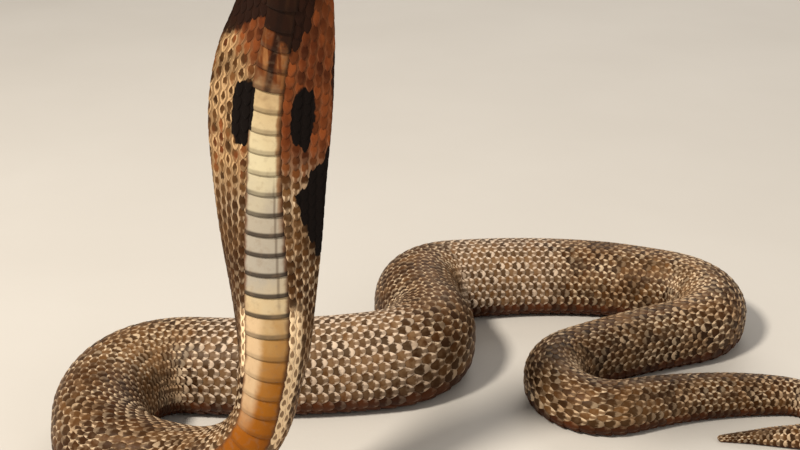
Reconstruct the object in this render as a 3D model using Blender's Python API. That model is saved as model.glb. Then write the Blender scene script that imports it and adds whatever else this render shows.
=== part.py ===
"""A spectacled cobra at rest on the floor, its neck raised and its hood spread.

The body is one long loft along a centreline: runs of (length, turn) on the floor,
then a raised neck through a few named points. It is divided by thin plane cuts.
All sizes here are in millimetres, and MM turns them into metres.
"""
import math

import bmesh
import bpy
import numpy as np
from mathutils import Matrix, Vector

MM = 0.001
GAP = 0.3  # left free between two pieces that meet

# Body sizes
DEPTH = 0.93  # half the height of the body on the floor, as a share of half its width
BELLY_HEIGHT = 0.97  # height of the centreline over the floor, as a share of that half height
PLATE_RISE = 0.5  # how far a belly plate stands proud of the skin
STEP = 0.5  # distance between the points that the centreline is worked out at
PLACE_PASSES, SIZE_PASSES = 30, 60  # how often the centreline and its sizes are evened out
ORIGIN = (24.4, -11.2)  # the middle of the footprint, in the path's own coordinates

# The body on the floor, from the neck's foot to the tail's tip: name, length, turn in degrees
# (a left turn is positive)
PATH_START = (-79.0, -74.0)
PATH_HEADING = 188.4
FLOOR_RUNS = [
    ("ring, front", 57.4, -72.9),
    ("ring, left", 35.3, -39.2),
    ("ring, back left", 43.8, -82.6),
    ("length behind the neck", 89.9, 18.2),
    ("bend to the front", 46.4, 96.0),
    ("short length", 35.3, -23.4),
    ("bend to the right", 30.1, -69.6),
    ("back length", 119.7, -34.3),
    ("right bend", 62.2, -141.0),
    ("length to the left", 67.3, 8.3),
    ("left bend", 68.5, 175.0),
    ("front length", 77.3, -24.8),
    ("tail bend", 51.3, -187.9),
    ("tail", 34.5, 7.8),
]
BEND_EASE, EASE_SAMPLES = 14.0, 9  # a turn eases in and out over this length

# Body radius on the floor at a distance from the path's start
RADII = [
    (0, 18.0), (60, 20.4), (110, 22.0), (200, 22.4), (255, 23.3), (300, 22.4), (350, 21.2),
    (425, 20.1), (482, 18.4),
    (527, 16.2), (597, 14.7), (658, 11.9), (714, 9.9), (767, 6.9), (795, 4.4), (821.6, 1.0),
]

# The raised neck from the head down to the floor. Each point has x, y, z, half the width, half
# the depth, how far the hood is spread there, and the belly plates' share of the width
NECK_POINTS = [
    (-35.6, -113.0, 235.2, 11.5, 8.2, 0.0, 0.50),
    (-35.2, -104.0, 234.6, 12.0, 8.3, 0.1, 0.46),
    (-35.3, -93.5, 229.0, 13.4, 8.6, 0.35, 0.40),
    (-36.6, -87.5, 219.0, 15.0, 8.9, 0.65, 0.34),
    (-37.8, -85.0, 209.0, 17.2, 9.0, 0.85, 0.30),
    (-39.7, -82.0, 198.0, 19.7, 9.0, 0.95, 0.28),
    (-42.4, -80.0, 187.0, 21.8, 9.0, 1.0, 0.27),
    (-45.4, -78.0, 168.3, 23.2, 9.2, 1.0, 0.27),
    (-47.1, -77.0, 141.4, 21.8, 9.8, 0.85, 0.33),
    (-47.6, -77.5, 117.8, 19.9, 10.6, 0.55, 0.42),
    (-47.6, -80.0, 94.2, 16.8, 11.5, 0.25, 0.52),
    (-48.2, -82.3, 75.0, 14.4, 12.0, 0.05, 0.60),
    (-50.5, -82.5, 60.0, 12.8, 12.0, 0.0, 0.62),
    (-53.7, -81.8, 45.2, 12.1, 12.5, 0.0, 0.64),
    (-60.8, -80.2, 32.2, 12.5, 13.2, 0.0, 0.67),
    (-71.8, -77.6, 22.6, 14.0, 14.3, 0.0, 0.71),
    (-82.1, -75.4, 18.2, 16.0, 15.7, 0.0, 0.77),
    (-93.0, -73.8, 16.7, 18.6, 17.2, 0.0, 0.82),
]
FOOT_JOIN = 14.0  # how far along the path the raised neck joins it
NECK_COUNT = 600  # points worked out between them
HOOD_EDGE = 1.5  # half the thickness of the spread hood near its edge
EDGE_POWER = 0.4  # how fast it thins out to the edge
HOOD_CURL = 3.5  # how far its edges come forward
SAG = 0.55  # power that squares the lower half of the section on the floor; 1 would be round
SAG_FROM, SAG_FULL = -25.0, 35.0
FACING = 12.0  # degrees that the raised belly is turned to the animal's right
FACING_HEIGHT, NAPE_HEIGHT = 150, 195  # it does so from the one height up to the other
TWIST_TOP = 45.0  # the turn of the belly from down to forward ends at this height
TWIST_ALONG = 95.0  # and begins this far along the floor
FLOOR_PLATES = 0.82  # the belly plates' share of the width on the floor

# Belly plates: how long each is, fewer and longer than on the animal except on the neck
NECK_PITCH, TRUNK_PITCH, TAIL_PITCH = 8.0, 12.0, 9.0
PLATE_END, GROOVE = 0.84, 0.92  # where a plate ends and its groove is deepest
PLATE_CORNERS = (0.12, 0.6)  # its corners, as shares of the way from its edge to the middle
FULL_RISE_WIDTH = 8.0  # where the body is slimmer than this, the plates rise less
RING_CLEAR = 0.4  # no ring lies nearer than this to a cut

# Where the body is divided, as distances from the path's start
HOOD_FOOT = -116.0
TRUNK_CUTS = [8, 56, 106, 146, 226, 270, 322, 386, 462, 493, 526, 592, 625]
TAIL_CUTS = [660, 712, 752]

# Ring corners, in degrees from the middle of the back
HOOD_ANGLES = [0, 32, 58, 77, 90, 103, 126]
TRUNK_ANGLES = [0, 32, 64, 95]

# The head: distance from the joint, half width, height over and depth under the middle, squareness
HEAD_STATIONS = [
    (0.0, 11.5, 8.2, 8.2, 2.0),
    (4.5, 12.4, 8.6, 8.3, 2.1),
    (9.0, 13.4, 8.9, 8.3, 2.3),
    (13.5, 14.0, 9.0, 8.1, 2.4),
    (18.0, 13.8, 9.0, 7.7, 2.5),
    (22.5, 13.0, 8.9, 7.2, 2.6),
    (26.5, 11.9, 8.6, 6.7, 2.6),
    (31.0, 10.5, 7.8, 6.1, 2.5),
    (34.5, 9.0, 6.7, 5.5, 2.4),
    (38.0, 7.2, 5.2, 4.7, 2.3),
    (40.6, 5.2, 3.6, 3.6, 2.2),
    (42.0, 2.6, 1.8, 1.9, 2.0),
]
HEAD_ANGLES = [0, 19, 38, 56, 70, 82, 93, 106, 112, 125, 142, 162]
MOUTH = 0.39  # depth of the mouth's line, as a share of the depth under the middle
MOUTH_CORNER = 10.5
JAW_LEAN = 2.5  # how far the cut behind the jaw slopes back
JAW_SPACE_DEPTH, JAW_SPACE_HALF, JAW_SPACE_AHEAD = 14.0, 18.0, 4.0
SHIELD_RISE, SHIELD_SEAM = 0.35, 0.3
EYE_AT, EYE_ANGLE, EYE_RADIUS, EYE_SUNK = 29.0, 68.0, 2.4, 1.85
NOSTRIL_AT, NOSTRIL_ANGLE, NOSTRIL_RADIUS, NOSTRIL_OUT = 38.2, 72.0, 0.8, 0.2
EYE_FACETS, SOCKET_FACETS, NOSTRIL_FACETS = (14, 8), (16, 10), (8, 6)
WELD = 0.02
SHARP = 35.0  # degrees between two faces from which their edge is sharp

# Head shields as ranges of head stations and of head angles, by their place in the lists above
TOP_SHIELDS = {
    "parietal": ((3, 5), (0, 3)),
    "frontal": ((5, 7), (-1, 1)),
    "supraocular": ((5, 7), (1, 3)),
    "prefrontal": ((7, 8), (0, 3)),
    "internasal": ((8, 9), (0, 3)),
}
LIP_STATIONS = range(3, 9)
UPPER_LIP, LOWER_LIP = 6, 8


def clear_scene():
    for item in list(bpy.data.objects):
        bpy.data.objects.remove(item, do_unlink=True)


def unit(v):
    return v / np.linalg.norm(v, axis=-1, keepdims=True)


def smoothstep(x):
    x = np.clip(x, 0.0, 1.0)
    return x * x * (3 - 2 * x)


def floor_path():
    """The centreline on the floor, every STEP, and the body's radius there."""
    lengths = np.array([run[1] for run in FLOOR_RUNS])
    turns = np.radians([run[2] for run in FLOOR_RUNS])
    along = np.concatenate([[0.0], np.cumsum(lengths)])
    heading = math.radians(PATH_HEADING) + np.concatenate([[0.0], np.cumsum(turns)])
    s = np.linspace(0.0, along[-1], int(along[-1] / STEP) + 1)
    offsets = np.linspace(-BEND_EASE / 2, BEND_EASE / 2, EASE_SAMPLES)
    weights = np.cos(np.pi * offsets / BEND_EASE) ** 2 + 1e-3
    eased = sum(w * np.interp(s + o, along, heading) for w, o in zip(weights, offsets))
    eased /= weights.sum()
    middle = (eased[1:] + eased[:-1]) / 2
    ds = s[1] - s[0]
    x = PATH_START[0] + np.concatenate([[0.0], np.cumsum(np.cos(middle) * ds)])
    y = PATH_START[1] + np.concatenate([[0.0], np.cumsum(np.sin(middle) * ds)])
    radius = np.interp(s, *zip(*RADII))
    return np.column_stack([x, y, BELLY_HEIGHT * DEPTH * radius]), radius


def spline(knots, count):
    """A smooth curve through rows of numbers, by cubic pieces between them."""
    knots = np.array(knots, float)
    chord = np.linalg.norm(np.diff(knots[:, :3], axis=0), axis=1)
    t = np.concatenate([[0.0], np.cumsum(chord)])
    slope = np.gradient(knots, t, axis=0)
    x = np.linspace(0.0, t[-1], count)
    i = np.clip(np.searchsorted(t, x, side="right") - 1, 0, len(t) - 2)
    h = (t[i + 1] - t[i])[:, None]
    f = (x - t[i])[:, None] / h
    a, b = knots[i], knots[i + 1]
    return (
        a * (1 + 2 * f) * (1 - f) ** 2
        + b * f * f * (3 - 2 * f)
        + slope[i] * h * f * (1 - f) ** 2
        - slope[i + 1] * h * f * f * (1 - f)
    )


def smoothed(rows, passes):
    """Rows evened out over their neighbours, with the ends kept."""
    out = rows.copy()
    for _ in range(passes):
        out[1:-1] = (out[:-2] + 2 * out[1:-1] + out[2:]) / 4
    return out


class Body:
    """The whole centreline with its sizes and its turning frame, asked for by distance."""

    def __init__(self):
        floor, radius = floor_path()
        raised = spline(NECK_POINTS, NECK_COUNT)
        flat = np.column_stack([
            floor, radius, DEPTH * radius, 0 * radius, FLOOR_PLATES + 0 * radius,
        ])
        rows = np.vstack([raised[:-1], flat[int(FOOT_JOIN / STEP):]])
        rows[:, :2] -= ORIGIN
        lengths = np.concatenate([[0.0], np.cumsum(
            np.linalg.norm(np.diff(rows[:, :3], axis=0), axis=1))])
        even = np.arange(0.0, lengths[-1], STEP)
        rows = np.column_stack([np.interp(even, lengths, column) for column in rows.T])
        rows[:, :3] = smoothed(rows[:, :3], PLACE_PASSES)
        rows[:, 3:] = smoothed(rows[:, 3:], SIZE_PASSES)
        self.start = FOOT_JOIN - lengths[len(raised) - 1]
        self.s = even + self.start
        self.rows = rows
        self.along = unit(np.gradient(rows[:, :3], axis=0))
        self.back = self.turned_backs()
        self.end = self.s[-1]

    def turned_backs(self):
        """Which way the back faces: up on the floor, then carried up the neck and turned."""
        first = int(np.searchsorted(self.s, TWIST_ALONG))
        back = np.tile([0.0, 0.0, 1.0], (len(self.s), 1))
        for i in range(first - 1, -1, -1):
            carried = back[i + 1] - self.along[i] * (back[i + 1] @ self.along[i])
            back[i] = unit(carried)
        for i in range(first, len(self.s)):
            back[i] = unit(back[i] - self.along[i] * (back[i] @ self.along[i]))
        raised = self.s < 0
        top = int(np.argmax(raised & (self.rows[:, 2] < FACING_HEIGHT)))
        aim = np.array([math.sin(math.radians(FACING)), math.cos(math.radians(FACING)), 0.0])
        whole = self.angle_to(back[top], aim, self.along[top])
        foot = int(np.argmax(raised & (self.rows[:, 2] < TWIST_TOP)))
        share = smoothstep((TWIST_ALONG - self.s) / (TWIST_ALONG - self.s[foot]))
        back = self.rotated(back, whole * share)
        rest = self.angle_to(back[0], np.array([0.0, 0.0, 1.0]), self.along[0])
        nape = int(np.argmax(self.rows[:, 2] < NAPE_HEIGHT))
        share = smoothstep((self.s[nape] - self.s) / (self.s[nape] - self.s[0]))
        return self.rotated(back, rest * share)

    @staticmethod
    def angle_to(a, b, axis):
        b = unit(b - axis * (b @ axis))
        return math.atan2(np.cross(a, b) @ axis, a @ b)

    def rotated(self, back, angle):
        side = np.cross(self.along, back)
        return back * np.cos(angle)[:, None] + side * np.sin(angle)[:, None]

    def at(self, s):
        """Centre, back, side, along, and the sizes at a distance."""
        row = np.array([np.interp(s, self.s, column) for column in self.rows.T])
        along = unit(np.array([np.interp(s, self.s, column) for column in self.along.T]))
        back = np.array([np.interp(s, self.s, column) for column in self.back.T])
        back = unit(back - along * (back @ along))
        return row[:3], back, np.cross(along, back), along, row[3:]


def outline_point(angle, wide, deep, hood, power):
    """A corner of the body's section: sideways and backwards from its middle."""
    u, c = math.sin(angle), math.cos(angle)
    if c > 0:
        power = 1.0
    bulge = (deep - HOOD_EDGE * hood) * abs(c) ** (power * (1 + 2 * hood))
    bulge += HOOD_EDGE * hood * abs(c) ** EDGE_POWER
    sideways = math.copysign(wide * abs(u) ** power, u)
    return sideways, math.copysign(bulge, c) - HOOD_CURL * hood * u * u


def ring(body, s, rise, angles, shift=0.0):
    """One ring of corners, with the belly plate raised by its share of PLATE_RISE."""
    centre, back, side, along, (wide, deep, hood, plates) = body.at(s)
    edge = math.pi - math.asin(plates)
    power = 1 + (SAG - 1) * float(smoothstep((s - SAG_FROM) / (SAG_FULL - SAG_FROM)))
    lift = min(1.0, wide / FULL_RISE_WIDTH) * PLATE_RISE
    flank = [(math.radians(a), 0.0) for a in angles] + [(edge, 0.0)]
    plate = [(edge + (math.pi - edge) * f, lift * rise) for f in PLATE_CORNERS]
    right = flank + plate
    left = [(-a, up) for a, up in reversed(right) if a > 0]
    corners = []
    for angle, up in right + left:
        x, y = outline_point(angle, wide, deep, hood, power)
        grown = 1 + up / math.hypot(x, y)
        point = centre + side * x * grown + back * y * grown + along * shift
        on_plate = abs(angle) > edge + 1e-6
        floor = lift * (1 - rise) if on_plate else 0.0
        point[2] = max(point[2], floor)
        corners.append(point)
    return corners


def plate_starts(body):
    """Distances at which the belly plates begin, from the head joint to the tail's tip."""
    starts = [body.start]
    while starts[-1] < body.end:
        s = starts[-1]
        pitch = np.interp(s, [-30, 30, 620, 660], [NECK_PITCH, TRUNK_PITCH, TRUNK_PITCH, TAIL_PITCH])
        starts.append(s + float(pitch))
    return starts


def nearest(values, aim):
    return min(values, key=lambda v: abs(v - aim))


def mesh_object(name, rings, material):
    """A closed loft through rings of corners, capped at both ends."""
    bm = bmesh.new()
    rows = [[bm.verts.new(Vector(corner) * MM) for corner in one] for one in rings]
    count = len(rows[0])
    for a, b in zip(rows, rows[1:]):
        for i in range(count):
            j = (i + 1) % count
            bm.faces.new((a[i], a[j], b[j], b[i]))
    bm.faces.new(rows[0])
    bm.faces.new(rows[-1][::-1])
    bmesh.ops.recalc_face_normals(bm, faces=bm.faces)
    bmesh.ops.triangulate(bm, faces=bm.faces, quad_method="SHORT_EDGE")
    mesh = bpy.data.meshes.new(name)
    bm.to_mesh(mesh)
    bm.free()
    mesh.materials.append(material)
    item = bpy.data.objects.new(name, mesh)
    bpy.data.collections["cobra"].objects.link(item)
    return item


def body_length(body, name, start, end, starts, angles, material):
    """One length of the body between two cuts, with its belly plates."""
    rings = [ring(body, start, 0.0, angles, GAP / 2)]
    inside = [k for k in range(len(starts) - 1) if starts[k] > start - 1 and starts[k] < end - 1]
    for k in inside:
        pitch = starts[k + 1] - starts[k]
        for share, rise in ((0.0, 1.0), (PLATE_END, 1.0), (GROOVE, 0.0)):
            s = starts[k] + share * pitch
            if start + RING_CLEAR < s < end - RING_CLEAR:
                rings.append(ring(body, s, rise, angles))
    rings.append(ring(body, end, 0.0, angles, -GAP / 2))
    return mesh_object(name, rings, material)


def head_point(t, angle):
    """A corner of the head's section, sideways and up, at a distance from its joint."""
    columns = list(zip(*HEAD_STATIONS))
    wide, over, under, square = [np.interp(t, columns[0], c) for c in columns[1:]]
    u, c = math.sin(angle), math.cos(angle)
    power = 2 / square
    x = math.copysign(wide * abs(u) ** power, u)
    z = math.copysign((over if c > 0 else under) * abs(c) ** power, c)
    return x, z


def head_frame(body):
    """The head's axes as a matrix: its origin at the joint, Y forwards and Z up."""
    centre, back, side, along, _ = body.at(body.start)
    forward = -along
    right = np.cross(forward, back)
    columns = [right, forward, back]
    return Matrix([[columns[c][r] for c in range(3)] + [centre[r] * MM] for r in range(3)]
                  + [[0, 0, 0, 1]])


def head_solid(name, frame, material):
    """The whole head as one loft, with raised shields on its top and along its lips."""
    angles = [math.radians(a) for a in HEAD_ANGLES]
    turn = angles + [math.pi] + [-a for a in reversed(angles[1:])]
    bm = bmesh.new()
    rows = []
    for i, station in enumerate(HEAD_STATIONS):
        t = station[0] + (GAP / 2 if i == 0 else 0.0)
        corners = [head_point(station[0], a) for a in turn]
        rows.append([bm.verts.new(Vector((x, t, z)) * MM) for x, z in corners])
    count = len(turn)
    faces = {}
    for i, (a, b) in enumerate(zip(rows, rows[1:])):
        for j in range(count):
            k = (j + 1) % count
            faces[i, j] = bm.faces.new((a[j], a[k], b[k], b[j]))
    bm.faces.new(rows[0])
    bm.faces.new(rows[-1][::-1])
    bmesh.ops.recalc_face_normals(bm, faces=bm.faces)
    for stations, corners in shield_groups(count):
        group = [faces[i, j % count] for i in stations for j in corners]
        bmesh.ops.inset_region(bm, faces=group, thickness=SHIELD_SEAM * MM,
                               depth=SHIELD_RISE * MM, use_even_offset=True)
    bmesh.ops.triangulate(bm, faces=bm.faces, quad_method="SHORT_EDGE")
    bm.transform(frame)
    mesh = bpy.data.meshes.new(name)
    bm.to_mesh(mesh)
    bm.free()
    mesh.materials.append(material)
    item = bpy.data.objects.new(name, mesh)
    bpy.data.collections["cobra"].objects.link(item)
    return item


def shield_groups(count):
    """Stations and corners of each shield, on both sides of the head."""
    groups = []
    for (first, last), (low, high) in TOP_SHIELDS.values():
        stations = range(first, last)
        groups.append((stations, range(low, high)))
        if low >= 0:
            groups.append((stations, range(-high, -low)))
    for i in LIP_STATIONS:
        for lip in (UPPER_LIP, LOWER_LIP):
            groups.append(([i], [lip]))
            groups.append(([i], [count - 1 - lip]))
    return groups


def cutter(item):
    item.hide_render = True
    item.display_type = "WIRE"
    for collection in item.users_collection:
        collection.objects.unlink(item)
    bpy.data.collections["cutters"].objects.link(item)
    return item


def mouth_cutter(name, frame, shift):
    """The space of the lower jaw: everything under the mouth's line, moved down by a shift."""
    stations = [(s[0], s[3]) for s in HEAD_STATIONS]
    corner = MOUTH_CORNER + shift
    end = stations[-1][0] + JAW_SPACE_AHEAD
    line = [corner] + [t for t, _ in stations if t > MOUTH_CORNER + 1] + [end]
    points = [(t, -MOUTH * np.interp(t, *zip(*stations)) - shift) for t in line]
    points += [(end, -JAW_SPACE_DEPTH), (corner - JAW_LEAN, -JAW_SPACE_DEPTH)]
    half = JAW_SPACE_HALF
    bm = bmesh.new()
    left = [bm.verts.new(Vector((-half, t, z)) * MM) for t, z in points]
    right = [bm.verts.new(Vector((half, t, z)) * MM) for t, z in points]
    bm.faces.new(left)
    bm.faces.new(right[::-1])
    for i in range(len(points)):
        j = (i + 1) % len(points)
        bm.faces.new((left[j], left[i], right[i], right[j]))
    bmesh.ops.recalc_face_normals(bm, faces=bm.faces)
    bm.transform(frame)
    mesh = bpy.data.meshes.new(name)
    bm.to_mesh(mesh)
    bm.free()
    item = bpy.data.objects.new(name, mesh)
    bpy.data.collections["cutters"].objects.link(item)
    return cutter(item)


def ball(name, place, radius, facets):
    bpy.ops.mesh.primitive_uv_sphere_add(segments=facets[0], ring_count=facets[1],
                                         radius=radius * MM, location=place)
    item = bpy.context.object
    item.name = name
    item.data.name = name
    return item


def cut(item, tool, operation):
    change = item.modifiers.new(tool.name, "BOOLEAN")
    change.operation = operation
    change.solver = "EXACT"
    change.object = tool


def weld(item):
    """Close up the slivers that crossing cuts leave."""
    change = item.modifiers.new("weld", "WELD")
    change.merge_threshold = WELD * MM


def make_head(body, skin, eye_material):
    """Head and lower jaw, parted at the mouth's line, with eyes and nostrils."""
    frame = head_frame(body)
    head = head_solid("head", frame, skin)
    jaw = head_solid("lower_jaw", frame, skin)
    for side, label in ((1, "left"), (-1, "right")):
        x, z = head_point(EYE_AT, math.radians(EYE_ANGLE))
        place = frame @ (Vector((-side * (x - EYE_SUNK), EYE_AT, z)) * MM)
        socket = cutter(ball("socket_" + label, place, EYE_RADIUS + GAP, SOCKET_FACETS))
        cut(head, socket, "DIFFERENCE")
        eye = ball("eye_" + label, place, EYE_RADIUS, EYE_FACETS)
        eye.data.materials.append(eye_material)
        for collection in eye.users_collection:
            collection.objects.unlink(eye)
        bpy.data.collections["cobra"].objects.link(eye)
        x, z = head_point(NOSTRIL_AT, math.radians(NOSTRIL_ANGLE))
        place = frame @ (Vector((-side * (x + NOSTRIL_OUT), NOSTRIL_AT, z)) * MM)
        nostril = cutter(ball("nostril_" + label, place, NOSTRIL_RADIUS, NOSTRIL_FACETS))
        cut(head, nostril, "DIFFERENCE")
    cut(head, mouth_cutter("mouth_space", frame, -GAP / 2), "DIFFERENCE")
    cut(jaw, mouth_cutter("jaw_space", frame, GAP / 2), "INTERSECT")
    weld(head)
    weld(jaw)


def plain_material(name, colour, roughness):
    material = bpy.data.materials.new(name)
    material.use_nodes = True
    shader = material.node_tree.nodes["Principled BSDF"]
    shader.inputs["Base Color"].default_value = (*colour, 1.0)
    shader.inputs["Roughness"].default_value = roughness
    shader.inputs["Metallic"].default_value = 0.0
    return material


def main():
    clear_scene()
    for name in ("cobra", "cutters"):
        bpy.context.scene.collection.children.link(bpy.data.collections.new(name))
    head_skin = plain_material("head scales", (0.16, 0.09, 0.05), 0.4)
    neck_skin = plain_material("neck scales", (0.30, 0.17, 0.09), 0.45)
    trunk_skin = plain_material("trunk scales", (0.20, 0.14, 0.10), 0.45)
    tail_skin = plain_material("tail scales", (0.10, 0.07, 0.05), 0.45)
    eye_material = plain_material("eye", (0.02, 0.015, 0.01), 0.1)

    body = Body()
    starts = plate_starts(body)
    foot, *trunk = [nearest(starts, c) for c in [HOOD_FOOT] + TRUNK_CUTS]
    tail = [nearest(starts, c) for c in TAIL_CUTS] + [body.end]
    body_length(body, "hood", body.start, foot, starts, HOOD_ANGLES, neck_skin)
    body_length(body, "neck", foot, trunk[0], starts, HOOD_ANGLES, neck_skin)
    ends = trunk[1:] + [tail[0]]
    for i, (a, b) in enumerate(zip(trunk, ends)):
        body_length(body, f"trunk_{i + 1:02d}", a, b, starts, TRUNK_ANGLES, trunk_skin)
    for i, (a, b) in enumerate(zip(tail, tail[1:])):
        body_length(body, f"tail_{i + 1}", a, b, starts, TRUNK_ANGLES, tail_skin)
    make_head(body, head_skin, eye_material)
    for item in bpy.data.collections["cobra"].objects:
        item.data.shade_smooth()
        item.data.set_sharp_from_angle(angle=math.radians(SHARP))


main()
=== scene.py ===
"""The looks of a spectacled cobra: one skin over the whole animal, small scales, belly plates,
head shields and eyes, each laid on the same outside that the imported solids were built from.

Lengths are in millimetres unless a name says otherwise; MM turns them into metres.
A place on the animal is a run and a share. The run is the distance along the middle of the body
from the foot of the raised neck: it is negative up the neck and over the head. The share is 0 in
the middle of the back and 1 or -1 in the middle of the belly.
"""
import math

import bpy
import numpy as np
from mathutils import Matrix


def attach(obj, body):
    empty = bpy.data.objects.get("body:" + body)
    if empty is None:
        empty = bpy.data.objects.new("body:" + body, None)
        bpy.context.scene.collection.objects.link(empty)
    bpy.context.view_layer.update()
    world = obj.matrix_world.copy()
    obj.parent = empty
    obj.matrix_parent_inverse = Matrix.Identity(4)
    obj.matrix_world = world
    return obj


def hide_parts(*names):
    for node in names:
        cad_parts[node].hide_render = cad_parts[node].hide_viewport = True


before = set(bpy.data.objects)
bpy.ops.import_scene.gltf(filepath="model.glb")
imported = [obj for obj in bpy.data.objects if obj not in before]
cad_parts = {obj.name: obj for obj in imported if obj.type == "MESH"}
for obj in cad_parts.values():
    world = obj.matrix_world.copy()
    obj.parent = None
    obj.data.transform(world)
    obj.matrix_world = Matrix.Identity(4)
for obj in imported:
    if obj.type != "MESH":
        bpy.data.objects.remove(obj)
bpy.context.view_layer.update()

MM = 0.001
SEED = 7

# The lie of the body, as the solids have it
DEPTH = 0.93
BELLY_HEIGHT = 0.97
STEP = 0.5
ORIGIN = (24.4, -11.2)
PATH_START = (-79.0, -74.0)
PATH_HEADING = 188.4
FLOOR_RUNS = [
    ("ring, front", 57.4, -72.9),
    ("ring, left", 35.3, -39.2),
    ("ring, back left", 43.8, -82.6),
    ("length behind the neck", 89.9, 18.2),
    ("bend to the front", 46.4, 96.0),
    ("short length", 35.3, -23.4),
    ("bend to the right", 30.1, -69.6),
    ("back length", 119.7, -34.3),
    ("right bend", 62.2, -141.0),
    ("length to the left", 67.3, 8.3),
    ("left bend", 68.5, 175.0),
    ("front length", 77.3, -24.8),
    ("tail bend", 51.3, -187.9),
    ("tail", 34.5, 7.8),
]
BEND_EASE = 14.0
RADII = [
    (0, 18.0), (60, 20.4), (110, 22.0), (200, 22.4), (255, 23.3), (300, 22.4), (350, 21.2),
    (425, 20.1), (482, 18.4),
    (527, 16.2), (597, 14.7), (658, 11.9), (714, 9.9), (767, 6.9), (795, 4.4), (821.6, 1.0),
]
# x, y, z, half the width, half the depth, spread of the hood, the belly plates' share
NECK_POINTS = [
    (-35.6, -113.0, 235.2, 11.5, 8.2, 0.0, 0.50),
    (-35.2, -104.0, 234.6, 12.0, 8.3, 0.1, 0.46),
    (-35.3, -93.5, 229.0, 13.4, 8.6, 0.35, 0.40),
    (-36.6, -87.5, 219.0, 15.0, 8.9, 0.65, 0.34),
    (-37.8, -85.0, 209.0, 17.2, 9.0, 0.85, 0.27),
    (-39.7, -82.0, 198.0, 19.7, 9.0, 0.95, 0.25),
    (-42.4, -80.0, 187.0, 21.8, 9.0, 1.0, 0.24),
    (-45.4, -78.0, 168.3, 23.2, 9.2, 1.0, 0.24),
    (-47.1, -77.0, 141.4, 21.8, 9.8, 0.85, 0.30),
    (-47.6, -77.5, 117.8, 19.9, 10.6, 0.55, 0.39),
    (-47.6, -80.0, 94.2, 16.8, 11.5, 0.25, 0.52),
    (-48.2, -82.3, 75.0, 14.4, 12.0, 0.05, 0.60),
    (-50.5, -82.5, 60.0, 12.8, 12.0, 0.0, 0.62),
    (-53.7, -81.8, 45.2, 12.1, 12.5, 0.0, 0.64),
    (-60.8, -80.2, 32.2, 12.5, 13.2, 0.0, 0.67),
    (-71.8, -77.6, 22.6, 14.0, 14.3, 0.0, 0.71),
    (-82.1, -75.4, 18.2, 16.0, 15.7, 0.0, 0.77),
    (-93.0, -73.8, 16.7, 18.6, 17.2, 0.0, 0.82),
]
FOOT_JOIN = 14.0
NECK_STEPS = 600  # points of the neck's curve before it is divided evenly
EVEN_PLACE, EVEN_SIZE = 30, 60  # passes that even out the middle line and the sizes
HOOD_EDGE = 1.5
HOOD_CURL = 3.5
SAG = 0.55
SAG_FROM, SAG_FULL = -25.0, 35.0
FACING = 12.0
TWIST_TOP = 45.0
TWIST_ALONG = 95.0
TURN_FROM, NAPE = 150.0, 195.0
FLOOR_PLATES = 0.82
TIP_ROUND = 1.4  # length over which the tail's tip closes

# The head: distance from its joint, half width, height over and depth under its middle, squareness
HEAD_STATIONS = [
    (0.0, 11.5, 8.2, 8.2, 2.0),
    (4.5, 12.4, 8.6, 8.3, 2.1),
    (9.0, 13.4, 8.9, 8.3, 2.3),
    (13.5, 14.0, 9.0, 8.1, 2.4),
    (18.0, 13.8, 9.0, 7.7, 2.5),
    (22.5, 13.0, 8.9, 7.2, 2.6),
    (26.5, 11.9, 8.6, 6.7, 2.6),
    (31.0, 10.5, 7.8, 6.1, 2.5),
    (34.5, 9.0, 6.7, 5.5, 2.4),
    (38.0, 7.2, 5.2, 4.7, 2.3),
    (40.6, 5.0, 3.5, 3.4, 2.2),
    (41.6, 3.0, 2.2, 2.1, 2.1),
    (42.0, 0.0, 0.0, 0.0, 2.0),
]
MOUTH = 0.39
MOUTH_CORNER = 10.5
MOUTH_FRONT = -0.85  # height of the mouth's line at the snout
EYE_AT, EYE_ANGLE, EYE_RADIUS, EYE_SUNK = 29.0, 68.0, 2.4, 1.85
NOSTRIL_AT, NOSTRIL_ANGLE, NOSTRIL_RADIUS = 38.2, 72.0, 0.75

# The coat
COAT = 0.5  # how far the skin lies under the solids' outside
THIN_END = 14.0  # length of the tail's end over which the coat gets thinner
FLOOR_CLEAR = 0.02
UNDER_SKIN = 0.25  # how deep the scales' undersides lie in the skin
SCALE_ROWS = 31  # small scales round the hood; rows end in pairs along the body
ROW_ENDS = [  # run, the two rows that end there counted from the belly, and which way they end
    (-205.0, (5, 6), -1), (-63.0, (7, 8), 1), (45.0, (4, 5), 1), (500.0, (9, 10), 1),
    (650.0, (2, 3), 1), (718.0, (11, 12), 1), (770.0, (1, 6), 1),
]
ROW_FADE = 22.0
LEAST_ROW = 0.35
SCALE_PITCH = [(-291, 3.4), (-241, 4.2), (-203, 5.0), (-51, 4.8), (40, 4.8), (450, 4.8),
               (640, 4.8), (750, 3.8), (820, 2.4)]
LOOSENESS = [  # run, and how far apart the small scales stand
    (-261, 0.0), (-226, 0.4), (-196, 1.0), (-131, 1.0), (-101, 0.5), (-81, 0.6), (-31, 0.4),
    (30, 0.1), (820, 0.0),
]
SHIELDS_END = [  # degrees from the top, and how far forwards from the joint small scales reach
    (0, 13.2), (34, 13.8), (50, 12.0), (70, 11.2), (88, 10.4), (100, 9.6), (112, 9.4),
    (118, 12.0), (124, 18.0), (130, 22.5), (140, 23.7), (150, 25.4), (180, 25.4),
]
PATCH = 0.003  # size of each scale's own patch in the UV map
MARK_NEAR = 0.3  # markings follow the scales' own outlines more than the skin's
PLATE_PITCH = [(-261, 5.0), (-226, 8.0), (-41, 8.0), (20, 6.6), (450, 5.9), (640, 5.0),
               (750, 3.9), (820, 2.6)]
PLATE_LAP = 0.6  # how far a plate's ends go past the first row of small scales
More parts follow.
